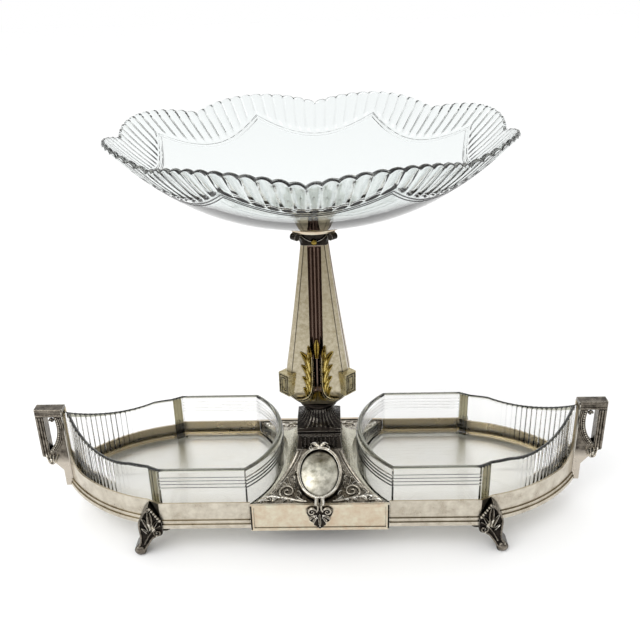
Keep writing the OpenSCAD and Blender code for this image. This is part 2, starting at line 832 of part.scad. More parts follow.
// Outline of an acanthus leaf in front view: a bud in the middle and four pairs of lobes, each corner
// of one half as shares of the half width and of the length
module leaf_outline() {
  half = [[0.34, 0], [0.72, 0.1], [0.86, 0.43], [0.7, 0.42], [0.9, 0.6], [0.7, 0.58], [1, 0.8],
    [0.68, 0.77], [0.57, 0.9], [0.34, 0.85], [0, 1]];
  right = [for (p = half) [p[0] * leaf_hw, p[1] * leaf_h]];
  polygon(concat(right, [for (i = [len(right) - 2 : -1 : 0]) [-right[i][0], right[i][1]]]));
}

// A leaf is a layer that follows the face of the stem, cut to the leaf's outline
module leaf(end) {
  layer = concat([for (z = stem_levels) [-stem_hw(z) - fit, z]],
    [for (i = [len(stem_levels) - 1 : -1 : 0]) [-stem_hw(stem_levels[i]) - leaf_t, stem_levels[i]]]);
  on_end(end) color(gilt) translate([0, 0, stem_z]) intersection() {
    translate([0, 0, leaf_foot]) rotate([90, 0, 0]) linear_extrude(far) leaf_outline();
    rotate([90, 0, 90]) linear_extrude(far, center = true) polygon(layer);
  }
}

// Square spiral of the key pattern, set out in widths s of its strips
module key_groove(s) {
  w = key_w / 2 - 1.6 * s;
  h = key_h / 2 - 1.6 * s;
  path = [[-w, -h], [-w, h], [w, h], [w, -h], [-w + 2 * s, -h], [-w + 2 * s, h - 2 * s],
    [w - 2 * s, h - 2 * s], [w - 2 * s, -h + 2.4 * s], [0, -h + 2.4 * s]];
  for (i = [0 : len(path) - 2])
    let (a = path[i], b = path[i + 1], lo = [min(a[0], b[0]), min(a[1], b[1])],
      hi = [max(a[0], b[0]), max(a[1], b[1])])
      translate(lo - [s, s] / 2) square(hi - lo + [s, s]);
}

module key_block(side) {
  turn = side == "left" ? -45 : 45;
  z = stem_z + bulb_up + key_up;
  out = (2 * bulb_hw - stem_corner(bulb_hw)) / sqrt(2) + key_out;
  rotate(turn) color(gilt) difference() {
    translate([-key_w / 2, -out, z - key_h / 2]) cube([key_w, 3 * key_out, key_h]);
    translate([0, -out + key_sink, z]) rotate([90, 0, 0]) linear_extrude(key_out) key_groove(key_line);
    rotate(-turn) loft(plain_rings(fit));
  }
}

// Capital

// Flared square bell with chamfered corners, a volute under each corner and a hollow in each side
module capital() {
  steps = 5;
  widths = [for (i = [0 : steps]) stem_top_hw + (capital_hw - stem_top_hw) * pow(i / steps, 2)];
  levels = [for (i = [0 : steps]) capital_z + capital_h * i / steps];
  bevel = stem_corner(stem_top_hw);
  color(silver) difference() {
    union() {
      intersection_for(a = [0 : 45 : 135]) rotate(a) rotate([90, 0, 0]) linear_extrude(far, center = true)
        let (half = [for (w = widths) a % 90 == 0 ? w : (2 * w - bevel) / sqrt(2)])
          polygon(concat([for (i = [0 : steps]) [half[i], levels[i]]],
            [for (i = [steps : -1 : 0]) [-half[i], levels[i]]]));
      for (a = [45 : 90 : 315]) rotate(a)
        translate([capital_hw * sqrt(2) - volute_r, 0, ring_z - volute_r - fit]) rotate([90, 0, 0])
          cylinder(r = volute_r, h = volute_r * 2, center = true);
    }
    for (a = [0 : 90 : 270]) rotate(a) translate([0, hollow_in - stem_top_hw, ring_z + hollow_up])
      rotate([90, 0, 0]) cylinder(r = hollow_r, h = capital_hw);
    cylinder(d = rod_d + 2 * rod_gap, h = far);
  }
}

// Distance of the buds' flat backs from the stem's face, less their clearance
bud_back = 0.5;

// Gilt bud that hangs over the top of each pair of flutes
module capital_drops() {
  z = capital_z + drop_r + drop_up;
  color(gilt) for (a = [0 : 90 : 270]) rotate(a) difference() {
    translate([0, -stem_top_hw - drop_out, z]) sphere(drop_r);
    capital_space();
  }
}

// Room that the foot of the capital takes behind the buds
module capital_space() {
  hw = stem_top_hw + bud_back + fit;
  translate([-hw, -hw, capital_z - far / 2]) cube([2 * hw, 2 * hw, far]);
}

// Round moulding, with the heights of its parts as shares of the whole
module capital_ring() {
  color(silver) difference() {
    rotate_extrude() polygon([[0, ring_z], [ring_foot_r, ring_z], [ring_foot_r, ring_z + ring_h * 0.4],
      [ring_foot_r + ring_lip, ring_z + ring_h * 0.55], [ring_r, ring_z + ring_h * 0.75],
      [ring_r, calyx_z], [0, calyx_z]]);
    cylinder(d = rod_d + 2 * rod_gap, h = far);
  }
}

// Flared and ribbed cup with a flat seat and a socket for the bowl's peg
module bowl_calyx() {
  foot_r = peg_r + peg_gap + socket_t;
  socket_z = seat_z - peg_h - peg_gap;
  color(silver) difference() {
    union() {
      calyx_form(foot_r, 0);
      for (i = [0 : calyx_ribs - 1]) rotate(360 * i / calyx_ribs) intersection() {
        calyx_form(foot_r, calyx_rib_out);
        translate([foot_r / 2, -calyx_rib_w / 2, calyx_z]) cube([calyx_r, calyx_rib_w, calyx_h - calyx_lip]);
      }
    }
    translate([0, 0, socket_z]) cylinder(r = peg_r + peg_gap, h = calyx_h);
    cylinder(d = rod_d + 2 * fit, h = rod_top + fit);
  }
}

// Solid of the cup, with its hollow flare moved out by t
module calyx_form(foot_r, t) {
  steps = 8;
  rise = calyx_h - calyx_lip;
  flare = [for (i = [0 : steps]) let (a = 90 * i / steps)
    [calyx_r - (calyx_r - foot_r) * cos(a) + t, calyx_z + rise * sin(a)]];
  rotate_extrude() polygon(concat([[0, calyx_z]], flare, [[calyx_r + t, seat_z], [0, seat_z]]));
}

// Tie rod that clamps the stem to the pedestal

module tie_rod() {
  color(dark_silver) translate([0, 0, rod_foot]) cylinder(d = rod_d, h = rod_top - rod_foot);
}

module washer() {
  color(dark_silver) translate([0, 0, deck_z - washer_t]) difference() {
    cylinder(d = washer_d, h = washer_t);
    translate([0, 0, -1]) cylinder(d = rod_d + 2 * rod_gap, h = washer_t + 2);
  }
}

module clamp_nut() {
  color(dark_silver) translate([0, 0, deck_z - washer_t - nut_h]) difference() {
    cylinder(d = nut_d, h = nut_h, $fn = 6);
    translate([0, 0, -1]) cylinder(d = rod_d + 2 * fit, h = nut_h + 2);
  }
}

// Glass

module dish(side) {
  rise_x = tip_x - dish_inset - dip_in;
  on_side(side) color(clear_glass) difference() {
    union() {
      raise(ledge_top, dish_rim - rim_dip + rim_sweep_r) dish_outline(0);
      intersection() {
        for (i = [0 : line_n - 1])
          translate([0, 0, dish_rim - line_down - i * line_pitch]) linear_extrude(line_w, center = true)
            dish_outline(line_out);
        translate([0, -far / 2, 0]) cube([step_x, far, far]);
      }
    }
    raise(ledge_top + dish_floor, far) dish_outline(-dish_t);
    over_sweep(rise_x, dish_rim - rim_dip, rim_sweep_r, dish_rim);
    for (y = [-1, 1], i = [0 : end_flutes - 1])
      translate([end_c[0], y * end_c[1], 0])
        rotate(y * (dish_tip_angle + (i + flute_first) * end_flute_pitch / dish_arc_r * 180 / PI))
          translate([dish_arc_r + end_flute_r / 2, 0, ledge_top + dish_floor])
            cylinder(r = end_flute_r, h = far);
  }
}

// Radius of the lobed rim at an angle: a ring of circles, with the first notch at angle 0
lobe_pitch = 360 / lobes;
notch_r = bowl_r - lobe_notch;
lobe_c = (pow(bowl_r, 2) - pow(notch_r, 2)) / (2 * (bowl_r - notch_r * cos(lobe_pitch / 2)));
function from_tip(angle) = abs(angle % lobe_pitch - lobe_pitch / 2);
function rim_r(angle) = let (a = from_tip(angle))
  lobe_c * cos(a) + sqrt(pow(bowl_r - lobe_c, 2) - pow(lobe_c * sin(a), 2));

// Radius of the swag line, which is cusped under each tip and hangs lowest under each notch
function swag_r(angle) = let (s = 1 - from_tip(angle) / (lobe_pitch / 2))
  swag_low + (swag_high - swag_low) * s * s;

// Height of the outside of the bowl at radius r
function bowl_z(r) = seat_z + bowl_h * pow(max(0, r - seat_r) / (bowl_r - seat_r), bowl_curve);

// Round bowl whose rim is cut in lobes; flutes run on the outside from the swag line to the rim
module bowl() {
  n = 2 * lobes * lobe_flutes;
  angles = [for (i = [0 : n - 1]) 360 * i / n];
  outside = [for (s = [0, 0.25, 0.52, 0.8]) let (r = seat_r + (swag_low - seat_r) * s)
    [for (a = angles) [r, bowl_z(r)]]];
  swag = [for (a = angles) let (r = swag_r(a)) [r, bowl_z(r)]];
  fluted = [for (s = [0.15, 1]) [for (i = [0 : n - 1])
    let (a = angles[i], r = swag_r(a) + (rim_r(a) - swag_r(a)) * s)
    [r - (i % 2) * bowl_flute_d, bowl_z(r)]]];
  lip = [for (a = angles) let (r = rim_r(a) - bowl_rim_t) [r, bowl_z(r) + bowl_t]];
  inside = [for (s = [0.8, 0.56, 0.3, 0]) let (r = seat_r + (notch_r - seat_r) * s)
    [for (a = angles) [r, bowl_z(r) + bowl_t]]];
  rows = concat(outside, [swag], fluted, [lip], inside);
  color(clear_glass) {
    loft([for (row = rows) [for (i = [0 : n - 1])
      [row[i][0] * cos(angles[i]), row[i][0] * sin(angles[i]), row[i][1]]]]);
    translate([0, 0, seat_z - peg_h]) cylinder(r = peg_r, h = peg_h + bowl_t / 2);
  }
}

pedestal();
for (e = ENDS) {
  panel(e);
  cartouche(e);
  shield(e);
  palmette(e);
}
for (s = SIDES) {
  wing(s);
  ledge(s);
  handle(s);
  foot(s, -1);
  foot(s, 1);
}
foot_screws();
fluted_neck();
plinth();
stem_collar();
stem();
for (e = ENDS) leaf(e);
for (s = SIDES) key_block(s);
capital();
capital_drops();
capital_ring();
bowl_calyx();
tie_rod();
washer();
clamp_nut();
for (s = SIDES) dish(s);
bowl();
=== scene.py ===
"""Table centrepiece of worn silver plate with a lobed glass bowl and two loose glass dishes."""

import math

import bmesh
import bpy
import numpy as np
from mathutils import Matrix, Vector


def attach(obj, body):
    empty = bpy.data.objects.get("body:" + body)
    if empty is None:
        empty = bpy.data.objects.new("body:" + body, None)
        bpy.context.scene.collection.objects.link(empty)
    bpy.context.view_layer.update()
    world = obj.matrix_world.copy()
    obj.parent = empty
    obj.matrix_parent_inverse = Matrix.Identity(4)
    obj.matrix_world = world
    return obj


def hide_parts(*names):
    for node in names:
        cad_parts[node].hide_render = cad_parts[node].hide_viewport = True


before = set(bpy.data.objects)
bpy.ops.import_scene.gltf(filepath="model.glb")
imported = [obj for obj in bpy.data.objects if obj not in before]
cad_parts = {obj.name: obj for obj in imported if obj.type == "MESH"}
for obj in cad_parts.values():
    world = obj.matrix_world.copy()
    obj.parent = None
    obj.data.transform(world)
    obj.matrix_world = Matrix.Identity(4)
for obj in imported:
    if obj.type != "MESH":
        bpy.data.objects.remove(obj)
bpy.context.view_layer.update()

# Pedestal: a hollow cast body in the middle of the frame, silver plated and oxidised. The wings are
# soldered to it and the stem is clamped on its top; scroll foliage is chased on its hollow slopes.


def linear(hex_colour):
    """An sRGB hex colour as the linear RGBA that the shaders take."""
    parts = [int(hex_colour[i : i + 2], 16) / 255 for i in (1, 3, 5)]
    return tuple(c / 12.92 if c <= 0.04045 else ((c + 0.055) / 1.055) ** 2.4 for c in parts) + (1.0,)


def add(tree, kind, settings=None, **links):
    """Adds a node: settings go to its properties or sockets, links join outputs to its sockets.

    A link named _6 goes to the socket with that number.
    """
    node = tree.nodes.new(kind)
    for key, value in (settings or {}).items():
        if isinstance(key, str) and hasattr(node, key):
            setattr(node, key, value)
        else:
            node.inputs[key].default_value = value
    for key, output in links.items():
        socket = int(key[1:]) if key[1:].isdigit() else key.replace("_", " ")
        tree.links.new(output, node.inputs[socket])
    return node


ridge_mm, wiping_mm, wiping_deep_mm = 0.8, 0.8, 0.05


def plated(name, dull, bright, recess, ridge, reach_mm, roughness, patch_mm, alone=False):
    """Plated metal: polish in patches, wiping marks, oxide in recesses and ridges rubbed bright."""
    material = bpy.data.materials.new(name)
    material.use_nodes = True
    tree = material.node_tree
    shader = tree.nodes["Principled BSDF"]
    place = add(tree, "ShaderNodeTexCoord").outputs["Object"]
    noise = {"Scale": 1000 / patch_mm, "Detail": 5.0, "Roughness": 0.65}
    patches = add(tree, "ShaderNodeTexNoise", noise, Vector=place).outputs["Fac"]
    polish = add(tree, "ShaderNodeMapRange", {"From Min": 0.35, "From Max": 0.65}, Value=patches)
    tones = {"data_type": "RGBA", 6: linear(dull), 7: linear(bright)}
    rubbed = add(tree, "ShaderNodeMix", tones, _0=polish.outputs["Result"])
    air = {"Distance": reach_mm / 1000, "samples": 8, "only_local": alone}
    air = add(tree, "ShaderNodeAmbientOcclusion", air)
    height = {"From Min": 0.35, "From Max": 0.85}
    height = add(tree, "ShaderNodeMapRange", height, Value=air.outputs["AO"])
    oxide = {"data_type": "RGBA", 6: linear(recess)}
    worn = add(tree, "ShaderNodeMix", oxide, _0=height.outputs["Result"], _7=rubbed.outputs[2])
    edges = {"inside": True, "only_local": True, "Distance": ridge_mm / 1000, "samples": 8}
    edges = add(tree, "ShaderNodeAmbientOcclusion", edges)
    crest = {"From Min": 0.62, "From Max": 0.4}
    crest = add(tree, "ShaderNodeMapRange", crest, Value=edges.outputs["AO"])
    rub = {"data_type": "RGBA", 7: linear(ridge)}
    rub = add(tree, "ShaderNodeMix", rub, _0=crest.outputs["Result"], _6=worn.outputs[2])
    tree.links.new(rub.outputs[2], shader.inputs["Base Color"])
    span = {"From Min": 0.3, "From Max": 0.7, "To Min": roughness[0], "To Max": roughness[1]}
    gloss = add(tree, "ShaderNodeMapRange", span, Value=patches)
    tree.links.new(gloss.outputs["Result"], shader.inputs["Roughness"])
    wiping = {"Scale": 1000 / wiping_mm, "Detail": 2.0}
    wiping = add(tree, "ShaderNodeTexNoise", wiping, Vector=place)
    marks = {"Strength": 0.3, "Distance": wiping_deep_mm / 1000}
    bump = add(tree, "ShaderNodeBump", marks, Height=wiping.outputs["Fac"])
    tree.links.new(bump.outputs["Normal"], shader.inputs["Normal"])
    shader.inputs["Metallic"].default_value = 1.0
    return material


# Oxidised cast silver: nearly black in the hollows of the ornament, rubbed grey on its high places.
oxidised_silver = plated(
    "oxidised_cast_silver", "#4d473f", "#958d81", "#0a0807", "#ebe6db", 3.0, (0.18, 0.34), 5.0
)

# Rubbed relief: the raised ornament over that dark ground, cleaned bright by years of polishing.
rubbed_relief = plated(
    "rubbed_relief_silver", "#8f887b", "#cbc4b7", "#0c0a08", "#f2eee5", 2.6, (0.18, 0.32), 5.0
)


def finish(material, *names):
    """Gives the CAD nodes of these names one material."""
    for name in names:
        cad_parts[name].data.materials.clear()
        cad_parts[name].data.materials.append(material)


def skin(name, shells, material, sharp=35):
    """One mesh of closed shells in millimetres, each a list of rings ended by a fan to a pole."""
    points, faces = [], []
    for rings, first, last in shells:
        start, count = len(points), len(rings[0])
        for ring in rings:
            points.extend(np.asarray(ring, float).tolist())
        steps = [(i, (i + 1) % count) for i in range(count)]
        for k in range(len(rings) - 1):
            low, high = start + k * count, start + (k + 1) * count
            faces += [(low + i, low + j, high + j, high + i) for i, j in steps]
        top = start + (len(rings) - 1) * count
        faces += [(start + j, start + i, len(points)) for i, j in steps]
        faces += [(top + i, top + j, len(points) + 1) for i, j in steps]
        points += [list(first), list(last)]
    mesh = bpy.data.meshes.new(name)
    mesh.from_pydata((np.array(points) / 1000).tolist(), [], faces)
    cleaned = bmesh.new()
    cleaned.from_mesh(mesh)
    bmesh.ops.recalc_face_normals(cleaned, faces=cleaned.faces)
    cleaned.to_mesh(mesh)
    cleaned.free()
    mesh.shade_smooth()
    mesh.set_sharp_from_angle(angle=math.radians(sharp))
    mesh.materials.append(material)
    piece = bpy.data.objects.new(name, mesh)
    bpy.context.collection.objects.link(piece)
    return piece


leaf_half = [(0.3, 0.72), (0.6, 1), (0.86, 0.62), (1, 0)]
leaf_section = [(-u, k) for u, k in reversed(leaf_half)] + [(0, 0.28)] + leaf_half
round_section = [(-1, 0), (-0.85, 0.52), (-0.5, 0.87), (0, 1), (0.5, 0.87), (0.85, 0.52), (1, 0)]


def raised(place, path, width, height, section=round_section, sink=0.5):
    """A closed strip of chased relief along a path; place turns x, y and height to a point."""
    path = np.asarray(path, float)
    along = np.gradient(path, axis=0)
    along /= np.linalg.norm(along, axis=1)[:, None]
    widths, heights = np.broadcast_to(width, len(path)), np.broadcast_to(height, len(path))
    rings = []
    for p, (dx, dy), w, h in zip(path, along, widths, heights):
        ring = [place(p[0] - dy * w * u, p[1] + dx * w * u, h * k) for u, k in section]
        ring += [place(p[0] - dy * w * u, p[1] + dx * w * u, -sink) for u in (1, -1)]
        rings.append(ring)
    return rings, np.mean(rings[0], axis=0), np.mean(rings[-1], axis=0)


def smooth(points, count=24):
    """A smooth path through a few points."""
    points = np.asarray(points, float)
    t = np.linspace(0, len(points) - 1, count)
    padded = np.vstack([2 * points[0] - points[1], points, 2 * points[-1] - points[-2]])
    i = np.minimum(t.astype(int), len(points) - 2)
    s = (t - i)[:, None]
    a, b, c, d = padded[i], padded[i + 1], padded[i + 2], padded[i + 3]
    return b + 0.5 * s * (c - a + s * (2 * a - 5 * b + 4 * c - d + s * (3 * (b - c) + d - a)))


def leaf_lobe(place, base, tip, width, rise, bend=0.0):
    """One lobe of an acanthus leaf: hollow along its rib, with raised edges and a pointed tip."""
    base, tip = np.array(base, float), np.array(tip, float)
    across = np.array([base[1] - tip[1], tip[0] - base[0]])
    s = np.linspace(0, 1, 13)
    path = base + np.outer(s, tip - base) + np.outer(4 * s * (1 - s) * bend, across)
    widths = width * np.sin(math.pi * (0.12 + 0.85 * s**1.4)) ** 0.65
    return raised(place, path, widths, rise * (0.55 + 0.45 * np.sin(math.pi * s)), leaf_section)


def scroll(place, centre, radius, turns, start, width, rise, hand=1):
    """A tapering half-round scroll that winds in to a small eye."""
    s = np.linspace(0, 1, int(26 * turns) + 8)
    angle = start + hand * 2 * math.pi * turns * s
    r = radius * (1 - s) ** 0.9 + width * 0.4
    path = np.stack([centre[0] + r * np.cos(angle), centre[1] + r * np.sin(angle)], 1)
    return raised(place, path, width * (1 - 0.5 * s), rise * (1 - 0.3 * s))


def mirrored(shells, *axes):
    """The same shells with the signs of some axes turned."""
    signs = np.array([-1.0 if axis in axes else 1.0 for axis in "xyz"])
    images = []
    for rings, first, last in shells:
        images.append(([np.asarray(r) * signs for r in rings], first * signs, last * signs))
    return images


neck_half, neck_top, slope_rise, slope_run, slope_across = 17.5, 85.0, 37.5, 47.5, 37.5
slope_foot = 13.0
slope_angles = np.linspace(math.pi / 2, math.asin(slope_foot / slope_rise), 90)
slope_outs = neck_half + slope_run * (1 - np.cos(slope_angles))
slope_steps = np.hypot(np.diff(slope_outs), np.diff(slope_rise * np.sin(slope_angles)))
slope_places = np.concatenate([[0], np.cumsum(slope_steps)])


def on_slope(x, v, h):
    """A point on the front slope: x across, v upwards from the foot edge, h outwards."""
    a = np.interp(v, slope_places, slope_angles)
    n = np.array([math.cos(a) / slope_run, math.sin(a) / slope_rise])
    n /= np.linalg.norm(n)
    out = neck_half + slope_run * (1 - math.cos(a)) + h * n[0]
    return np.array([x, -out, neck_top - slope_rise * math.sin(a) + h * n[1]])


hips = neck_half + slope_across * (1 - np.cos(slope_angles))
border_inset, line_inset, leaf_rise = 1.9, 2.6, 1.5
border = np.stack([hips - border_inset, slope_places], 1)[6:-2]
foliage = [
    raised(on_slope, border, 1.3, 1.0),
    raised(on_slope, border - (line_inset, 0), 0.4, 0.6),
    scroll(on_slope, (27.0, 15.0), 6.4, 1.5, -0.6, 1.3, 1.9),
    scroll(on_slope, (42.0, 6.6), 3.2, 1.3, 3.6, 0.8, 1.4, -1),
    scroll(on_slope, (22.5, 28.0), 2.2, 1.2, 0.5, 0.6, 1.1),
    raised(on_slope, smooth([(11, 3.5), (17, 4.2), (24, 6.5), (30.5, 8.5), (33.4, 12.0)]), 1.1, 1.7),
    raised(on_slope, smooth([(31, 8.0), (36, 9.2), (40.5, 10.2), (44.0, 9.6)]), 0.8, 1.3),
]
for base, tip, width, bend in (
    ((30.0, 21.0), (36.5, 15.5), 1.8, 0.25),
    ((28.0, 22.0), (34.0, 22.5), 1.6, 0.2),
    ((24.5, 21.0), (27.0, 29.5), 1.7, -0.15),
    ((21.0, 18.0), (22.0, 25.0), 1.4, 0.1),
    ((33.0, 8.5), (39.5, 4.0), 1.6, 0.2),
    ((36.0, 10.0), (41.0, 14.2), 1.5, -0.2),
    ((44.0, 5.0), (51.5, 3.2), 1.4, 0.15),
    ((43.0, 9.0), (48.5, 7.2), 1.2, 0.2),
    ((26.0, 7.0), (31.0, 3.4), 1.4, 0.2),
    ((20.0, 6.0), (24.5, 3.0), 1.2, 0.2),
    ((14.0, 5.0), (19.5, 10.5), 1.6, -0.2),
    ((16.5, 7.0), (19.0, 16.0), 1.5, 0.15),
    ((21.0, 27.0), (20.0, 36.0), 1.3, -0.1),
    ((19.8, 33.0), (18.8, 43.0), 1.0, 0.1),
):
    foliage.append(leaf_lobe(on_slope, base, tip, width, leaf_rise, bend))
foliage += mirrored(foliage, "x")
foliage.append(raised(on_slope, [(x, 1.3) for x in np.linspace(-53, 53, 30)], 0.8, 0.7))
relief = skin("slope_foliage", foliage + mirrored(foliage, "y"), rubbed_relief, 50)
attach(relief, "frame")


def second_tone(material, share, colour):
    """Lets another colour take the place of a material's own as a node's result rises to 1."""
    tree = material.node_tree
    target = tree.nodes["Principled BSDF"].inputs["Base Color"]
    own = target.links[0].from_socket
    tones = {"data_type": "RGBA", 7: linear(colour)}
    tones = add(tree, "ShaderNodeMix", tones, _0=share.outputs["Result"], _6=own)
    tree.links.new(tones.outputs[2], target)


# Pedestal silver: the same dark casting in front and behind, with painted reflections that make the
# faces turned to the sides lighter.
pedestal_silver = oxidised_silver.copy()
pedestal_silver.name = "oxidised_silver_with_painted_side_reflections"
tree = pedestal_silver.node_tree
lean = add(tree, "ShaderNodeTexCoord").outputs["Normal"]
lean = add(tree, "ShaderNodeVectorMath", {"operation": "ABSOLUTE"}, _0=lean)
lean = add(tree, "ShaderNodeSeparateXYZ", Vector=lean.outputs[0]).outputs
side = add(tree, "ShaderNodeMath", {"operation": "SUBTRACT"}, _0=lean["X"], _1=lean["Y"])
side = add(tree, "ShaderNodeMapRange", {"From Min": 0.05, "From Max": 0.2}, Value=side.outputs[0])
# Painted reflection: faces turned to the left and right take the lighter colour.
second_tone(pedestal_silver, side, "#c4c1b0")
finish(pedestal_silver, "pedestal")

# Panels: rolled plates with a raised border, soldered to the front and back of the pedestal. Rubbing
# has let some of the reddish base metal through the plate.

# Rubbed plate: pale champagne, mottled with the rose of the metal under it, with brown corners.
rubbed_plate = plated(
    "rubbed_silver_plate", "#c9b59c", "#d9d2bd", "#241c15", "#e9e2d4", 2.5, (0.28, 0.42), 8.0
)
finish(rubbed_plate, "front_panel", "back_panel")

# Black oxide: a matt crust that fills seams and cut lines and gives back next to no light; at the
# panel's ends it also stands for the shade in the corners, as painted shade.
black_oxide = plated(
    "black_oxide", "#0e0c0a", "#191613", "#050404", "#191613", 1.0, (0.3, 0.4), 5.0
)
flat_section = [(-1, 1), (1, 1)]
panel_face, seam_out, seam_low, seam_high = 67.4, 57.0, 24.0, 48.4
seam_half, seam_rise = 0.6, 0.1


def on_border(x, z, h):
    """A point on the face of the front panel's border."""
    return np.array([x, -panel_face - h, z])


# Dark lines at the panel's ends: oxide and painted shade in the corners there.
seams = []
for x in (-seam_out, seam_out):
    seam = [(x, seam_low), (x, seam_high)]
    seams.append(raised(on_border, seam, seam_half, seam_rise, flat_section))
seam_and_shade_lines = skin("panel_seams_and_shade", seams + mirrored(seams, "y"), black_oxide, 30)
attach(seam_and_shade_lines, "frame")

# Cartouches: an oval frame with a polished domed shield, cast apart and soldered on each slope. The
# frame's lower ends run together and end on the panel in a heart-shaped palmette.

# Polished plate: clean bright silver with little tarnish, as on a shield kept for engraving.
polished_plate = plated(
    "polished_silver_plate", "#8e8a7b", "#dcd8ca", "#16120e", "#f1eee5", 3.0, (0.3, 0.42), 6.0
)
finish(polished_plate, "front_shield", "back_shield")
finish(oxidised_silver, "front_cartouche", "back_cartouche")

# Blackened silver: oxide left nearly everywhere, and worn off only along the sharpest ridges.
blackened_silver = plated(
    "blackened_silver", "#131110", "#322d28", "#040303", "#d8d2c6", 2.2, (0.16, 0.28), 4.0
)
finish(blackened_silver, "front_palmette", "back_palmette")

oval_top, oval_foot = np.array([19.8, 73.5]), np.array([59.2, 47.8])
oval_middle, oval_half, oval_tall, oval_thick = (oval_top + oval_foot) / 2, 19.0, 23.5, 2.4
palmette_face, tail_from, tail_top = 69.1, 22.5, 50.4
oval_up = (oval_top - oval_foot) / np.linalg.norm(oval_top - oval_foot)


def on_oval(x, v, h):
    """A point on the cartouche's plane: x across, v up the slope from its middle, h outwards."""
    out, z = oval_middle + v * oval_up + (oval_thick + h) * np.array([oval_up[1], -oval_up[0]])
    return np.array([x, -out, z])


def on_panel(x, z, h):
    """A point on the palmette's face."""
    return np.array([x, -palmette_face - h, z])


def on_tail(x, v, h):
    """A point on the oval's foot for v above 0, and on the palmette's face for v below it."""
    return on_oval(x, v - tail_from, h) if v > 0 else on_panel(x, tail_top + v, h)


turns = np.linspace(-math.pi / 2, 1.5 * math.pi, 73)
trim = []
for inset, width, rise in ((0.8, 1.1, 1.5), (2.1, 0.35, 0.4)):
    across, upwards = (oval_half - inset) * np.cos(turns), (oval_tall - inset) * np.sin(turns)
    trim.append(raised(on_oval, np.stack([across, upwards], 1), width, rise))
tail = [(13.6, 8.0), (9.4, 4.0), (5.6, 1.8), (3.2, 0.8)]
tail += [(1.9, 0.2), (1.4, -1.6), (1.5, -4.4), (2.6, -6.6)]
half_trim = [
    leaf_lobe(on_oval, (1.0, 22.0), (7.5, 25.0), 1.8, 1.8, 0.25),
    leaf_lobe(on_oval, (2.0, 23.5), (4.0, 29.0), 1.6, 1.8, -0.15),
    scroll(on_oval, (6.8, 21.4), 1.9, 1.2, 1.8, 0.7, 1.4, -1),
    raised(on_tail, smooth(tail, 40), 1.0, 1.3),
    scroll(on_panel, (6.4, 43.4), 3.3, 1.3, 2.5, 0.95, 1.4, -1),
    leaf_lobe(on_panel, (2.4, 39.4), (8.0, 35.6), 1.4, 1.0, 0.2),
    leaf_lobe(on_panel, (1.9, 37.6), (5.2, 31.8), 1.4, 1.0, 0.15),
]
trim += half_trim + mirrored(half_trim, "x")
trim.append(leaf_lobe(on_oval, (0, 21.0), (0, 30.0), 1.8, 2.0))
trim.append(leaf_lobe(on_panel, (0, 41.0), (0, 28.0), 1.4, 1.2))
crest = skin("cartouche_trim", trim + mirrored(trim, "y"), rubbed_relief, 50)
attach(crest, "frame")

# Wings: bent and soldered walls of plate with a rolled foot moulding, and in each a ledge, the floor
# plate that carries a dish. They are rubbed pale outside and dull brown inside, away from the cloth.

# Wing plate: as the panels outside; the inside of the walls keeps a dull brown tarnish.
wing_plate = plated(
    "wing_silver_plate", "#b3aa9a", "#d5cebf", "#1d1813", "#ebe6dc", 2.5, (0.24, 0.4), 10.0
)
tree = wing_plate.node_tree
where = add(tree, "ShaderNodeTexCoord").outputs
facing = {"operation": "MULTIPLY"}
facing = add(tree, "ShaderNodeVectorMath", facing, _0=where["Normal"], _1=where["Object"])
facing = add(tree, "ShaderNodeSeparateXYZ", Vector=facing.outputs[0])
inside = {"From Min": 0.002, "From Max": -0.002}
inside = add(tree, "ShaderNodeMapRange", inside, Value=facing.outputs["Y"])
second_tone(wing_plate, inside, "#b3a27e")
finish(wing_plate, "left_wing", "right_wing")

# Bright plate: pale silver painted nearly white, as painted light against the shade that the glass
# casts on the floors under the dishes and on the calyx under the bowl.
light_painted_plate = plated(
    "silver_plate_painted_light", "#f6f4ec", "#fefdf8", "#a9a598", "#fefdf8", 1.0, (0.3, 0.4), 30.0, True
)
finish(light_painted_plate, "left_ledge", "right_ledge")

# Handles: a cast bracket on the tip of each wing with a reeded finger loop, soldered to the wall. A
# row of beads follows the bowed side of the opening, and the bar's foot curls in under it.


def bead_tree():
    """A node tree that turns each path into a row of beads, given their spacing, size and metal."""
    tree = bpy.data.node_groups.new("bead_row", "GeometryNodeTree")
    tree.interface.new_socket("Path", in_out="INPUT", socket_type="NodeSocketGeometry")
    for label, kind in (("Spacing", "Float"), ("Radius", "Float"), ("Metal", "Material")):
        tree.interface.new_socket(label, in_out="INPUT", socket_type="NodeSocket" + kind)
    tree.interface.new_socket("Beads", in_out="OUTPUT", socket_type="NodeSocketGeometry")
    given = tree.nodes.new("NodeGroupInput").outputs
    marks = {"Curve": given["Path"], "Length": given["Spacing"]}
    marks = add(tree, "GeometryNodeResampleCurve", {"mode": "LENGTH"}, **marks)
    bead = add(tree, "GeometryNodeMeshIcoSphere", {"Subdivisions": 3}, Radius=given["Radius"])
    row = {"Points": marks.outputs[0], "Instance": bead.outputs["Mesh"]}
    row = add(tree, "GeometryNodeInstanceOnPoints", **row)
    whole = add(tree, "GeometryNodeRealizeInstances", Geometry=row.outputs[0])
    metal = add(tree, "GeometryNodeSetMaterial", Geometry=whole.outputs[0], Material=given["Metal"])
    tree.links.new(metal.outputs[0], tree.nodes.new("NodeGroupOutput").inputs["Beads"])
    return tree


beads = bead_tree()


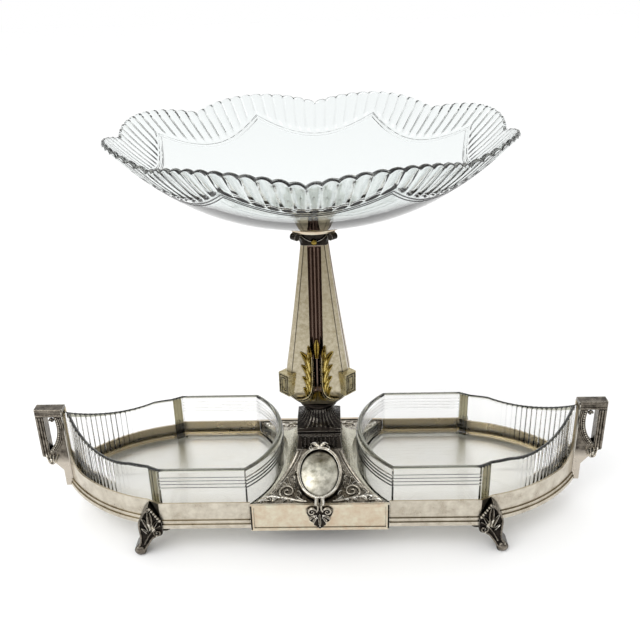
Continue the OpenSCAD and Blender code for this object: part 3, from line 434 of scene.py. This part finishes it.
def bead_rows(name, paths, spacing, radius, material):
    """Beads of one size along some paths in millimetres, as one mesh."""
    curve = bpy.data.curves.new(name, "CURVE")
    curve.dimensions = "3D"
    for path in paths:
        spline = curve.splines.new("POLY")
        spline.points.add(len(path) - 1)
        places = np.column_stack([np.asarray(path) / 1000, np.ones(len(path))])
        spline.points.foreach_set("co", places.ravel())
    guide = bpy.data.objects.new(name + "_path", curve)
    bpy.context.collection.objects.link(guide)
    modifier = guide.modifiers.new("beads", "NODES")
    modifier.node_group = beads
    items = [item for item in beads.interface.items_tree if item.in_out == "INPUT"]
    given = {item.name: item.identifier for item in items}
    modifier[given["Spacing"]] = spacing / 1000
    modifier[given["Radius"]] = radius / 1000
    modifier[given["Metal"]] = material
    evaluated = guide.evaluated_get(bpy.context.evaluated_depsgraph_get())
    mesh = bpy.data.meshes.new_from_object(evaluated)
    mesh.shade_smooth()
    bpy.data.objects.remove(guide)
    piece = bpy.data.objects.new(name, mesh)
    bpy.context.collection.objects.link(piece)
    return piece


def four_fold(path, y):
    """A path of x and z on the front right at a distance y, and its three mirror images."""
    return [[(sx * x, sy * y, z) for x, z in path] for sx in (-1, 1) for sy in (-1, 1)]


handle_face, bead_inset = 4.5, 1.9
loop_centre, loop_radius = (268.5, 88.15), 36.5
loop_levels = np.linspace(63.0, 97.0, 30)
loop_side = loop_centre[0] - np.sqrt(loop_radius**2 - (loop_levels - loop_centre[1]) ** 2)
bar_levels, top_outs, wall_out = np.linspace(57.5, 97.5, 12), np.linspace(225.6, 249.0, 10), 225.8


def on_handle(x, z, h):
    """A point on the front of the right handle."""
    return np.array([x, -handle_face - h, z])


handle_trim = []
for x in (243.4, 245.7, 248.0):
    handle_trim.append(raised(on_handle, [(x, z) for z in bar_levels], 0.95, 1.0))
for z, width in ((99.6, 0.9), (104.4, 1.4)):
    handle_trim.append(raised(on_handle, [(x, z) for x in top_outs], width, 1.0))
for inset, width in ((3.9, 0.8), (5.6, 0.7)):
    bow = np.stack([np.maximum(wall_out, loop_side - inset), loop_levels], 1)
    handle_trim.append(raised(on_handle, bow, width, 1.1))
for lean in (-2.6, -0.9, 0.9, 2.6):
    base, tip = (241.0 + lean, 50.5), (240.4 + 2.0 * lean, 60.0)
    handle_trim.append(leaf_lobe(on_handle, base, tip, 0.9, 1.4))
handle_trim.append(scroll(on_handle, (235.0, 95.2), 1.6, 1.1, 0.0, 0.9, 1.8))
handle_trim.append(scroll(on_handle, (242.0, 51.6), 2.4, 1.2, 1.2, 0.8, 1.4))
handle_trim += mirrored(handle_trim, "y")
reeds = skin("handle_reeds", handle_trim + mirrored(handle_trim, "x"), oxidised_silver, 50)
bead_paths = four_fold(np.stack([loop_side - bead_inset, loop_levels], 1), handle_face + 0.2)
loop_beads = bead_rows("handle_beads", bead_paths, 2.2, 1.05, rubbed_relief)
for piece in (reeds, loop_beads):
    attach(piece, "frame")

# Handle silver: dark and oxidised on the loop, and cleaned bright on the bracket under it.
handle_silver = plated(
    "handle_silver", "#3a3530", "#7d766b", "#080706", "#e6e1d6", 3.0, (0.18, 0.32), 5.0
)
tree = handle_silver.node_tree
where = add(tree, "ShaderNodeTexCoord").outputs["Object"]
where = add(tree, "ShaderNodeSeparateXYZ", Vector=where)
low = {"From Min": 0.058, "From Max": 0.05}
low = add(tree, "ShaderNodeMapRange", low, Value=where.outputs["Z"])
second_tone(handle_silver, low, "#bfb6a9")
finish(handle_silver, "left_handle", "right_handle")

# Feet: four cast feet, screwed up from below into the ledges through a boss behind the wall. A leaf
# with a beaded edge covers the step in the wall, and the leg ends in a scroll and a ball toe.
knee, foot_face = 139.25, 68.5


def on_foot(x, z, h):
    """A point on the front right foot: x outwards from the middle of its knee."""
    return np.array([knee + x, -foot_face - h, z])


def dome(place, centre, radius, rise):
    """A round boss on a face."""
    rings, (x, y) = [], centre
    turn = np.linspace(0, 2 * math.pi, 24, endpoint=False)
    for t in np.linspace(0, math.pi / 2 * 0.97, 7):
        r, h = radius * math.cos(t), rise * math.sin(t)
        rings.append([place(x + r * math.cos(a), y + r * math.sin(a), h) for a in turn])
    return rings, place(*centre, -0.5), place(*centre, rise)


leg = [(2.6, 48.5), (7.4, 42.4), (12.0, 33.0), (11.8, 20.0), (12.6, 13.0), (15.6, 8.0)]
foot_trim = [
    raised(on_foot, smooth(leg), 1.0, 1.8),
    raised(on_foot, smooth([(-2.0, 20.4), (2.0, 18.0), (5.8, 12.6), (9.6, 6.6)]), 1.0, 1.7),
    raised(on_foot, smooth([(-5.6, 31.0), (0.0, 27.0), (5.2, 20.0), (9.4, 12.0)]), 0.8, 1.6),
    scroll(on_foot, (-2.5, 23.4), 3.2, 1.4, 1.2, 1.0, 2.0, -1),
    leaf_lobe(on_foot, (2.5, 26.0), (2.9, 46.5), 3.0, 2.4),
    leaf_lobe(on_foot, (4.5, 25.0), (9.0, 38.0), 2.2, 2.2, 0.1),
    leaf_lobe(on_foot, (0.5, 27.0), (-3.8, 35.5), 1.9, 2.0, -0.1),
    leaf_lobe(on_foot, (6.0, 22.0), (10.4, 28.0), 1.5, 1.8, 0.15),
    dome(on_foot, (14.0, 4.6), 4.4, 2.6),
]
foot_trim += mirrored(foot_trim, "x")
leaves = skin("foot_leaves", foot_trim + mirrored(foot_trim, "y"), oxidised_silver, 50)
edge = smooth([(1.8, 47.6), (-1.6, 42.0), (-5.4, 35.6)], 10) + (knee, 0)
edge_beads = bead_rows("foot_beads", four_fold(edge, foot_face + 0.4), 2.6, 1.15, rubbed_relief)
for piece in (leaves, edge_beads):
    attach(piece, "frame")
for end in ("front", "back"):
    finish(blackened_silver, end + "_left_foot", end + "_right_foot")

# Drawn steel: plain dull grey bar of the screws, the tie rod, its washer and nut, out of sight.
drawn_steel = plated(
    "drawn_steel", "#77777a", "#96969a", "#33302c", "#a5a5a8", 1.0, (0.32, 0.45), 8.0
)
finish(drawn_steel, "foot_screws")

# Neck, plinth and collar: three castings threaded on a steel tie rod over the pedestal, clamped by a
# nut on a washer. The neck is fluted, the plinth has a ribbed hollow roof, and all are nearly black.
finish(blackened_silver, "fluted_neck", "plinth", "stem_collar")
finish(drawn_steel, "tie_rod", "washer", "clamp_nut")

# Stem: a tall cast stem of silver plate, square with chamfered corners. It swells to a bulb at its
# foot, a fine line is engraved along its edges, and each face has a sunk pair of brown flutes.

# Worn silver plate: warm grey champagne with a sandy face, and painted shade that turns it darker
# brown towards the top, under the capital and the bowl.
silver_plate = plated(
    "worn_silver_plate", "#a0967d", "#c3baa3", "#2b2216", "#e2dbcc", 2.0, (0.26, 0.4), 3.0
)
tree = silver_plate.node_tree
where = add(tree, "ShaderNodeTexCoord").outputs["Object"]
where = add(tree, "ShaderNodeSeparateXYZ", Vector=where)
# Painted shade: the stem darkens towards its top.
top_shade = {"From Min": 0.17, "From Max": 0.255, "To Max": 0.5}
top_shade = add(tree, "ShaderNodeMapRange", top_shade, Value=where.outputs["Z"])
second_tone(silver_plate, top_shade, "#75694f")

# Brown oxide: the smooth dark skin that was left in the flutes to set off the bright faces.
brown_oxide = plated(
    "brown_oxide", "#5b4b42", "#6d5c52", "#100b09", "#b3a797", 2.4, (0.2, 0.26), 40.0
)
stem_foot, stem_high = 114.5, 140.5
bulb_half, bulb_up, top_half, foot_half = 27.5, 20.0, 10.8, 15.5
chamfer, line_in, line_deep = 3.0, 0.55, 0.6
flute_half, flute_deep, channel_points = 5.4, 2.6, 10.6
front_channel_foot, side_channel_foot = 11.0, bulb_up + 4


def stem_half(z):
    """Half the stem's width at a height over its foot."""
    if z < bulb_up:
        return foot_half + (bulb_half - foot_half) * (1 - (1 - z / bulb_up) ** 1.4)
    s = (z - bulb_up) / (stem_high - bulb_up)
    return bulb_half + (top_half - bulb_half) * (1.1 * s - 0.1 * s * s)


def stem_ring(z):
    """One ring of the stem: engraved edge line, flat and sunk flutes on each of the four faces."""
    w = stem_half(z)
    edge = w - chamfer * w / bulb_half - 1
    flute = min(flute_half, 0.6 * w)
    begins, ends = (z - bulb_up) / 5, (stem_high - 1.0 - z) / 2
    sunk = flute_deep * min(1.0, max(0.0, begins)) * min(1.0, max(0.0, ends))
    line = edge - line_in
    half = [(w - sunk / 2, 0.3), (w - sunk / 2, 0.5)]
    for i in range(1, 8):
        hollow = 0.55 + 0.75 * math.sin(math.pi * i / 8)
        half.append((w - sunk * hollow, 0.5 + (flute - 0.9) * i / 8))
    half += [(w - sunk * 0.5, flute - 0.3), (w, flute), (w, flute + 0.3), (w, line - 0.4)]
    half += [(w - line_deep, line - 0.15), (w - line_deep, line + 0.1)]
    half += [(w - 0.05, line + 0.3), (w - 0.05, edge)]
    face = [(d, -t) for d, t in reversed(half)] + half
    turns = [(1, 0), (0, 1), (-1, 0), (0, -1)]
    return [(d * c - t * s, d * s + t * c, stem_foot + z) for c, s in turns for d, t in face]


stem_levels = [bulb_up * (1 - math.cos(math.pi / 2 * i / 16)) for i in range(17)]
stem_levels += [bulb_up + (stem_high - bulb_up) * i / 90 for i in range(1, 91)]
stem_rings = [stem_ring(z) for z in stem_levels]
ends = (0, 0, stem_foot), (0, 0, stem_foot + stem_high)
stem = skin("stem_casting", [(stem_rings, *ends)], silver_plate, 28)
stem.data.materials.append(brown_oxide)
around, face_count = len(stem_rings[0]), len(stem_rings[0]) // 4
for polygon in stem.data.polygons[: around * (len(stem_rings) - 1)]:
    level, column = divmod(polygon.index, around)
    from_middle = abs(column % face_count - (face_count - 1) / 2 + 0.5)
    channel_foot = front_channel_foot if column // face_count % 2 else side_channel_foot
    in_channel = stem_levels[level] >= channel_foot and from_middle < channel_points
    polygon.material_index = int(in_channel)
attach(stem, "frame")
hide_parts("stem")

# Leaves: a gilt acanthus leaf on the front and back of the stem, cast apart and soldered over the
# bulb. Two feathered halves stand beside the brown channel, and a fan of rays opens at the foot.

# Worn gilding: thin olive gold that has gone dull brown in the hollows.
worn_gilding = plated(
    "worn_gilding", "#7a672c", "#a8924a", "#120c06", "#d6c684", 2.2, (0.22, 0.36), 4.0
)

# Rubbed gilding: the same gold, worn so thin on edges and blocks that it looks champagne.
key_gilding = plated(
    "rubbed_gilding", "#a1946c", "#c6bb98", "#1a130a", "#ece4cd", 1.5, (0.22, 0.34), 4.0
)
half_leaf = [
    ((5.2, 42.0), (6.8, 58.7), 2.0, 0.04),
    ((6.4, 34.0), (13.2, 53.6), 2.5, 0.12),
    ((6.6, 24.0), (12.6, 42.4), 2.3, 0.14),
    ((7.0, 16.0), (12.0, 32.4), 2.2, 0.16),
    ((8.6, 11.6), (11.4, 23.0), 1.9, 0.14),
]
outer_border = [(4.0, 50.0), (4.0, 42.0), (4.0, 33.0), (4.3, 26.0)]
outer_border += [(5.4, 19.4), (8.0, 14.0), (12.0, 10.8), (17.4, 10.2)]
inner_border = [(2.9, 47.0), (2.8, 36.0), (3.0, 27.0), (3.9, 19.6)]
inner_border += [(6.0, 13.2), (9.8, 9.2), (14.6, 8.0)]
borders = [(smooth(outer_border, 30), 0.75), (smooth(inner_border, 26), 0.45)]
backing = smooth([(9.0, 11.0), (7.4, 20.0), (7.0, 32.0), (7.2, 43.0), (6.4, 53.0)], 5)
for side, turned in (("front", 1), ("back", -1)):

    def on_face(x, z, h):
        """A point on the bulb and the tapering face over it: z upwards from the stem's foot."""
        return np.array([turned * x, -turned * (stem_half(max(0.0, z)) + 0.2 + h), stem_foot + z])

    lobes, edges = [leaf_lobe(on_face, (0, 48.0), (0, 63.8), 2.6, 1.8)], []
    for hand in (1, -1):
        flip = np.array([hand, 1.0])
        for base, tip, width, bend in half_leaf:
            lobes.append(leaf_lobe(on_face, base * flip, tip * flip, width, 1.9, hand * bend))
        edges += [raised(on_face, path * flip, width, 2.9) for path, width in borders]
        lobes.append(raised(on_face, backing * flip, [1.8, 2.4, 2.5, 2.5, 1.2], 0.9))
        for foot, head, width in ((1.5, 0.5, 0.9), (4.2, 1.2, 1.0), (6.6, 2.0, 1.0)):
            base, tip = (hand * foot, 7.4), (hand * head, 21.0 - 1.6 * head)
            lobes.append(leaf_lobe(on_face, base, tip, width, 2.6))
    leaf = skin(side + "_acanthus_leaf", lobes, worn_gilding, 50)
    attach(leaf, "frame")
    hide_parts(side + "_leaf")
    border = skin(side + "_leaf_border", edges, key_gilding, 50)
    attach(border, "frame")

# Key blocks: two small cast blocks with a square spiral cut in their face, soldered on the bulb's
# front corners and gilt like the leaves; the spiral is filled with black oxide.
corner_cut, key_thick, key_up, cut_half, cut_sink = 4.0, 2.8, 6.5, 0.75, 0.1
key_out = (2 * bulb_half - corner_cut) / math.sqrt(2) + key_thick
key_middle = stem_foot + bulb_up + key_up


def on_key(u, v, h):
    """A point on the face of the front right key block."""
    d = (key_out + h) / math.sqrt(2)
    return np.array([d + u / math.sqrt(2), u / math.sqrt(2) - d, key_middle + v])


spiral = [(-4.4, -7.9), (-4.4, 7.9), (4.4, 7.9), (4.4, -7.9)]
spiral += [(-2.4, -7.9), (-2.4, 5.9), (2.4, 5.9), (2.4, -5.5), (0.0, -5.5)]
strips = []
for start, end in zip(spiral, spiral[1:]):
    strips.append(raised(on_key, [start, end], cut_half, -cut_sink, flat_section, 0.7))
oxide_lines = skin("key_oxide", strips + mirrored(strips, "x"), black_oxide, 30)
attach(oxide_lines, "frame")
finish(key_gilding, "front_left_key_block", "front_right_key_block")

# Capital, drops, ring and calyx: castings on the head of the tie rod. The capital has a volute under
# each corner and a gilt drop on each side; the bowl's peg stands in the socket of the ribbed calyx.
finish(blackened_silver, "capital")
finish(worn_gilding, "capital_drops")
# The calyx seen through the bowl takes the plate painted light.
finish(light_painted_plate, "bowl_calyx")
finish(rubbed_plate, "capital_ring")

# Dishes: two loose boat-shaped dishes of thick clear glass, pressed in a mould. Four fine lines run
# round the straight walls, upright flutes cover the pointed end, and the rim sweeps up to the tip.

# Clear pressed glass: colourless with a fire-polished face, a little yellow through its thickness.
clear_glass = bpy.data.materials.new("clear_pressed_glass")
clear_glass.use_nodes = True
tree = clear_glass.node_tree
shader = tree.nodes["Principled BSDF"].inputs
shader["Base Color"].default_value = linear("#ffffff")
shader["Roughness"].default_value = 0.0
shader["IOR"].default_value = 1.5
shader["Transmission Weight"].default_value = 1.0
depth_tint = {"Color": linear("#e6e6d8"), "Density": 9.0}
depth_tint = add(tree, "ShaderNodeVolumeAbsorption", depth_tint)
tree.links.new(depth_tint.outputs[0], tree.nodes["Material Output"].inputs["Volume"])


def tinted(glass, name, colour):
    """A copy of a glass that takes a tint where light passes its face."""
    copy = glass.copy()
    copy.name = name
    copy.node_tree.nodes["Principled BSDF"].inputs["Base Color"].default_value = linear(colour)
    return copy


# Glass at the step: olive brown, since one looks along the wall there and through much of it.
thick_glass = tinted(clear_glass, "clear_pressed_glass_at_the_step", "#8d8669")

# Glass at the rim: a faint green grey line round the top edge.
rim_glass = tinted(clear_glass, "clear_pressed_glass_at_the_rim", "#e8e9de")

# The floor lies 0.2 mm over the ledge, because glass and metal in one place render black.
dish_floor_z, dish_rim_z, dish_wall, dish_base, dish_fillet = 33.7, 80.5, 4.5, 5.0, 4.0
wall_gap, wall_half, step_half, step_in, step_out = 3.6, 65.0, 59.0, 134.0, 144.5
end_length, half_arc, inner_middle, inner_radius = 84.0, math.radians(22), 117.0, 84.0
end_radius = math.hypot(end_length, step_half) / (2 * math.sin(half_arc))
chord_turn, chord_gap = math.atan2(step_half, end_length), end_radius * math.cos(half_arc)
end_centre = (
    step_out + end_length / 2 - chord_gap * math.sin(chord_turn),
    step_half / 2 - chord_gap * math.cos(chord_turn),
)
step_turn = math.atan2(wall_half - step_half, step_out - step_in)
dish_tip = step_out + end_length - wall_gap
end_steps, step_steps, wall_steps, inner_steps = 240, 36, 30, 60
end_flutes, step_flutes, last_flute, fade_flutes = 21, 4, 18.5, 9
flute_cut, step_share, lip_share, cove_share = 1.1, 0.4, 0.965, 0.25
line_count, line_first, line_pitch = 4, 7.5, 3.3

# The rows of faces that go over the rim, and the columns that lie on the step and at its edges.
rim_rows, step_columns = range(42, 48), range(247, 273)


def dish_plan(out):
    """The outline moved outwards, from the tip round the back: place, normal, kind and flute."""
    t = out - wall_gap
    radius = end_radius + t
    cx, cy = end_centre
    corner = np.array([step_in + t * math.tan(step_turn / 2), wall_half + t])
    way = np.array([math.cos(step_turn), -math.sin(step_turn)])
    gap = corner - np.array([cx, cy])
    along = -gap @ way - math.sqrt((gap @ way) ** 2 - gap @ gap + radius**2)
    joint = corner + way * along
    first, last = math.asin(-cy / radius), math.atan2(joint[1] - cy, joint[0] - cx)
    half = []
    for i in range(end_steps + 1):
        a = first + (last - first) * i / end_steps
        nx, ny = math.cos(a), math.sin(a)
        flute = i * end_flutes / end_steps
        half.append((cx + radius * nx, cy + radius * ny, nx, ny, 1.0, flute))
    for i in range(1, step_steps + 1):
        x, y = joint + (corner - joint) * i / step_steps
        half.append((x, y, -way[1], way[0], 0.0, i * step_flutes / step_steps))
    inner = inner_radius + out
    meet = inner_middle - math.sqrt(inner**2 - corner[1] ** 2)
    for i in range(1, wall_steps + 1):
        x = corner[0] + (meet - corner[0]) * i / wall_steps
        half.append((x, corner[1], 0.0, 1.0, -1.0, 0.0))
    start = math.atan2(corner[1], meet - inner_middle)
    for i in range(1, inner_steps + 1):
        a = start + (math.pi - start) * i / inner_steps
        nx, ny = math.cos(a), math.sin(a)
        half.append((inner_middle + inner * nx, inner * ny, nx, ny, -1.0, 0.0))
    mirror = np.array([1, -1, 1, -1, 1, 1])
    other = [row * mirror for row in reversed(half[1:-1])]
    return np.array(half + other)


def rim_height(x):
    """Height of the dish's rim: level, a dip, then a sweep up to the tip."""
    centre, sweep, dip = dish_tip - 51.0, 64.0, 2.0
    arc = sweep - np.sqrt(np.maximum(0.0, sweep**2 - (x - centre) ** 2))
    arc = dish_rim_z - dip + arc
    return np.where(x < centre, np.minimum(dish_rim_z, arc), arc)


def dish_row(plan, share, lines=0.0, flutes=0.0):
    """One ring of the dish's wall at a share of its height, with the lines and the flutes cut in."""
    x, y, nx, ny, kind, turn = plan.T
    along = turn - np.floor(turn) - 0.5
    hollow = flutes * (1 - (2 * along) ** 2)
    fade = np.clip(np.minimum(2 * turn, (last_flute - turn) / fade_flutes), 0, 1)
    push = np.where(kind < 0, lines, np.where(kind > 0, -hollow * fade, -hollow * step_share))
    z = dish_floor_z + (rim_height(x) - dish_floor_z) * share
    return np.stack([x + nx * push, y + ny * push, z], 1)


def dish_rows():
    """All rings of a dish: from the foot up the outside, over the rim, down to the inner floor."""
    outside, inside = dish_plan(0.0), dish_plan(-dish_wall)
    tall = dish_rim_z - dish_floor_z
    foot = ((-2.0, 0.0), (-0.6, 0.012), (0.0, 0.045))
    rows = [dish_row(dish_plan(out), share) for out, share in foot]
    levels = [(0.09, 0.0), (0.13, 0.3), (0.17, 0.75)]
    levels += [(share, 1.0) for share in (0.21, 0.3, 0.4, 0.5, 0.58)]
    rows += [dish_row(outside, share, flutes=flute_cut * cut) for share, cut in levels]
    line_half = [(0.35, 0.75), (0.65, 0.4), (0.85, 0.0)]
    line_section = [(-u, k) for u, k in reversed(line_half)] + [(0, 0.85)] + line_half
    for i in reversed(range(line_count)):
        middle = dish_rim_z - line_first - line_pitch * i
        for offset, proud in line_section:
            share = (middle + offset - dish_floor_z) / tall
            rows.append(dish_row(outside, share, proud, flute_cut))
    rows += [dish_row(outside, share, flutes=flute_cut) for share in (0.88, 0.93, lip_share)]
    for i in range(1, 8):
        a = math.pi * i / 8
        across = dish_plan(-dish_wall * (1 - math.cos(a)) / 2)
        share = lip_share + (1 - lip_share) * math.sin(a)
        rows.append(dish_row(across, share, flutes=flute_cut * max(0, math.cos(a))))
    rows += [dish_row(inside, share) for share in (lip_share, 0.9, 0.8, 0.65, 0.5, 0.35, cove_share)]
    for i in range(1, 7):
        a = math.pi / 2 * i / 6
        plan = dish_plan(-dish_wall - dish_fillet * (1 - math.cos(a)))
        ring = dish_row(plan, 0.0)
        top = dish_floor_z + cove_share * (rim_height(plan[:, 0]) - dish_floor_z)
        ring[:, 2] = top + (dish_floor_z + dish_base - top) * math.sin(a)
        rows.append(ring)
    return rows


right_rows = dish_rows()
for side, sign in (("right", 1), ("left", -1)):
    rows = right_rows if sign > 0 else [(row * np.array([-1, 1, 1]))[::-1] for row in right_rows]
    middle = inner_middle * sign
    ends = (middle, 0, dish_floor_z), (middle, 0, dish_floor_z + dish_base)
    dish = skin(side + "_glass_dish", [(rows, *ends)], clear_glass, 40)
    dish.data.materials.append(thick_glass)
    dish.data.materials.append(rim_glass)
    columns = len(rows[0])
    for polygon in dish.data.polygons[: columns * (len(rows) - 1)]:
        row, column = divmod(polygon.index, columns)
        at_step = min(column, columns - column) in step_columns
        polygon.material_index = 2 if row in rim_rows else int(at_step)
    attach(dish, side + "_dish")
    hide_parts(side + "_dish")

# Bowl: one piece of clear pressed and cut glass, loose on the calyx with a peg under its seat. The
# rim has eight lobes of twelve cut flutes each, which end at a double line that hangs in swags.

# Cut glass: as clear as the dishes, and a little cooler where light passes it.
cut_glass = tinted(clear_glass, "clear_cut_glass", "#f2f6f6")

# The seat lies 0.25 mm over the calyx, because glass and metal in one place render black.
seat_z, seat_radius, bowl_radius, bowl_high, bowl_wall = 280.25, 27.0, 153.0, 65.75, 5.2
peg_z, floor_radius, lip_in, lip_over, scallop = 275.0, 26.0, 3.0, 0.6, 1.3
lobe_count, flutes_in_lobe, points_in_flute, notch = 8, 12, 8, 7.4
swag_low, swag_sweep, under_swag = 121.5, 18.0, 5.2
bowl_power, bowl_flute, bowl_line = 2.2, 1.0, 0.5
lobe_turn = 2 * math.pi / lobe_count
notch_radius = bowl_radius - notch
lobe_centre = (bowl_radius**2 - notch_radius**2) / 2
lobe_centre /= bowl_radius - notch_radius * math.cos(lobe_turn / 2)
point_count = lobe_count * flutes_in_lobe * points_in_flute
around = np.arange(point_count) * 2 * math.pi / point_count
from_tip = np.abs(around % lobe_turn - lobe_turn / 2)
lobe_reach = (bowl_radius - lobe_centre) ** 2 - (lobe_centre * np.sin(from_tip)) ** 2
rim_radius = lobe_centre * np.cos(from_tip) + np.sqrt(lobe_reach)
swag_radius = swag_low + swag_sweep * (1 - from_tip / (lobe_turn / 2)) ** 2
flute_edge = (2 * (around / lobe_turn * flutes_in_lobe % 1 - 0.5)) ** 2


def bowl_row(radius, lift=0.0, cut=0.0):
    """A ring of the bowl at some radii, lifted to the inside or cut in along its outer normal."""
    rise = np.maximum(0.0, radius - seat_radius) / (bowl_radius - seat_radius)
    z = seat_z + bowl_high * rise**bowl_power + lift
    slope = bowl_high * bowl_power * rise ** (bowl_power - 1) / (bowl_radius - seat_radius)
    length = np.sqrt(1 + slope**2)
    r = radius - cut * slope / length
    z = z + cut / length
    return np.stack([r * np.cos(around), r * np.sin(around), z], 1)


def ring_at(radius, z):
    """A level round ring."""
    return np.stack([radius * np.cos(around), radius * np.sin(around), np.full_like(around, z)], 1)


peg = [(9.4, peg_z), (10.0, peg_z + 0.6), (10.0, 279.6), (10.4, seat_z), (floor_radius, seat_z)]
bowl_rows = [ring_at(radius, z) for radius, z in peg]
for i in range(21):
    out = (swag_radius - under_swag - seat_radius) * (i / 20) ** 0.9
    bowl_rows.append(bowl_row(seat_radius + out))
for line in (4.6, 2.4):
    for step, cut in ((0, 0), (0.5, bowl_line), (0.9, bowl_line), (1.4, 0)):
        bowl_rows.append(bowl_row(swag_radius - line + step, cut=cut))
bowl_rows.append(bowl_row(swag_radius - 0.4))
for i in range(19):
    s = i / 18
    deep = np.clip((s - 0.10 * flute_edge) / 0.09, 0, 1)
    deep = bowl_flute * deep * deep * (3 - 2 * deep) * (1 - flute_edge)
    bowl_rows.append(bowl_row(swag_radius + (rim_radius - swag_radius) * s, cut=deep))
outer, lip = bowl_rows[-1], bowl_row(rim_radius - lip_in, bowl_wall)
over = np.stack([np.cos(around), np.sin(around), np.full_like(around, 0.5)], 1) * lip_over
lip_steps = (0.15, 0.35, 0.55, 0.75, 0.9)
for s in lip_steps:
    bowl_rows.append(outer + (lip - outer) * s + over * math.sin(math.pi * s))
bowl_rows.append(lip)
scallops, lip_rows = np.outer(flute_edge, (0, 0, scallop)), len(lip_steps) + 2
bowl_rows[-lip_rows:] = [row - scallops for row in bowl_rows[-lip_rows:]]
for i in range(1, 25):
    out = (rim_radius - lip_in - floor_radius) * (1 - i / 24)
    bowl_rows.append(bowl_row(floor_radius + out, bowl_wall))
ends = (0, 0, peg_z), (0, 0, seat_z + bowl_wall)
bowl = skin("glass_bowl", [(bowl_rows, *ends)], cut_glass, 30)
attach(bowl, "bowl")
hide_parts("bowl")

# Stage: a white floor and plain white surroundings, which turn grey towards the photographer, as the
# metal and the glass show. One large soft box stands over the left shoulder.
floor_mesh = bpy.data.meshes.new("floor")
far = 6
floor_corners = [(-far, -far, 0), (far, -far, 0), (far, far, 0), (-far, far, 0)]
floor_mesh.from_pydata(floor_corners, [], [(0, 1, 2, 3)])
floor = bpy.data.objects.new("floor", floor_mesh)
bpy.context.collection.objects.link(floor)

# White paper: matt and without gloss, so that it takes only the soft shadow.
paper = bpy.data.materials.new("white_paper")
paper.use_nodes = True
shader = paper.node_tree.nodes["Principled BSDF"].inputs
shader["Base Color"].default_value = linear("#ffffff")
shader["Roughness"].default_value = 1.0
shader["Specular IOR Level"].default_value = 0.0
floor_mesh.materials.append(paper)

# The room in front is darker to what mirrors it than to what is seen through glass.
world = bpy.data.worlds.new("white_studio")
bpy.context.scene.world = world
world.use_nodes = True
tree = world.node_tree
sight = add(tree, "ShaderNodeLightPath").outputs
way = add(tree, "ShaderNodeSeparateXYZ", Vector=add(tree, "ShaderNodeTexCoord").outputs["Generated"])
near = {"To Min": 0.45, "To Max": 0.75}
near = add(tree, "ShaderNodeMapRange", near, Value=sight["Is Transmission Ray"])
room = {"From Min": -0.9, "From Max": -0.2, "To Max": 1.0}
room = add(tree, "ShaderNodeMapRange", room, Value=way.outputs["Y"], To_Min=near.outputs["Result"])
light = add(tree, "ShaderNodeMix", {2: 1.0}, _0=sight["Is Glossy Ray"], _3=room.outputs["Result"])
tree.links.new(light.outputs[0], tree.nodes["Background"].inputs["Color"])

soft_box = bpy.data.lights.new("soft_box", "AREA")
soft_box.energy = 9
soft_box.shape = "RECTANGLE"
soft_box.size = 1.2
soft_box.size_y = 0.9
lamp = bpy.data.objects.new("soft_box", soft_box)
lamp.location = (-0.7, -0.8, 1.3)
lamp.rotation_euler = (Vector((0, 0, 0.15)) - lamp.location).to_track_quat("-Z", "Y").to_euler()
bpy.context.collection.objects.link(lamp)

# Camera: as the photograph was taken, from the front and a little above, with a slight roll.
# Its place and lens come from a fit to the bowl's lobes, the dishes' rims and the soles of the feet.
focal_px, photo_px, sensor_mm, roll = 785.5, 640, 36, math.radians(-1.504)
camera_data = bpy.data.cameras.new("camera")
camera_data.lens = focal_px * sensor_mm / photo_px
camera_data.sensor_width = sensor_mm
camera_data.clip_start = 0.05
camera = bpy.data.objects.new("camera", camera_data)
eye = Vector((0.01636, -0.59095, 0.45944))
aim = (Vector((0.00291, 0, 0.18590)) - eye).to_track_quat("-Z", "Y").to_matrix().to_4x4()
camera.matrix_world = Matrix.Translation(eye) @ aim @ Matrix.Rotation(roll, 4, "Z")
bpy.context.collection.objects.link(camera)
bpy.context.scene.camera = camera
bpy.context.scene.view_settings.view_transform = "Standard"
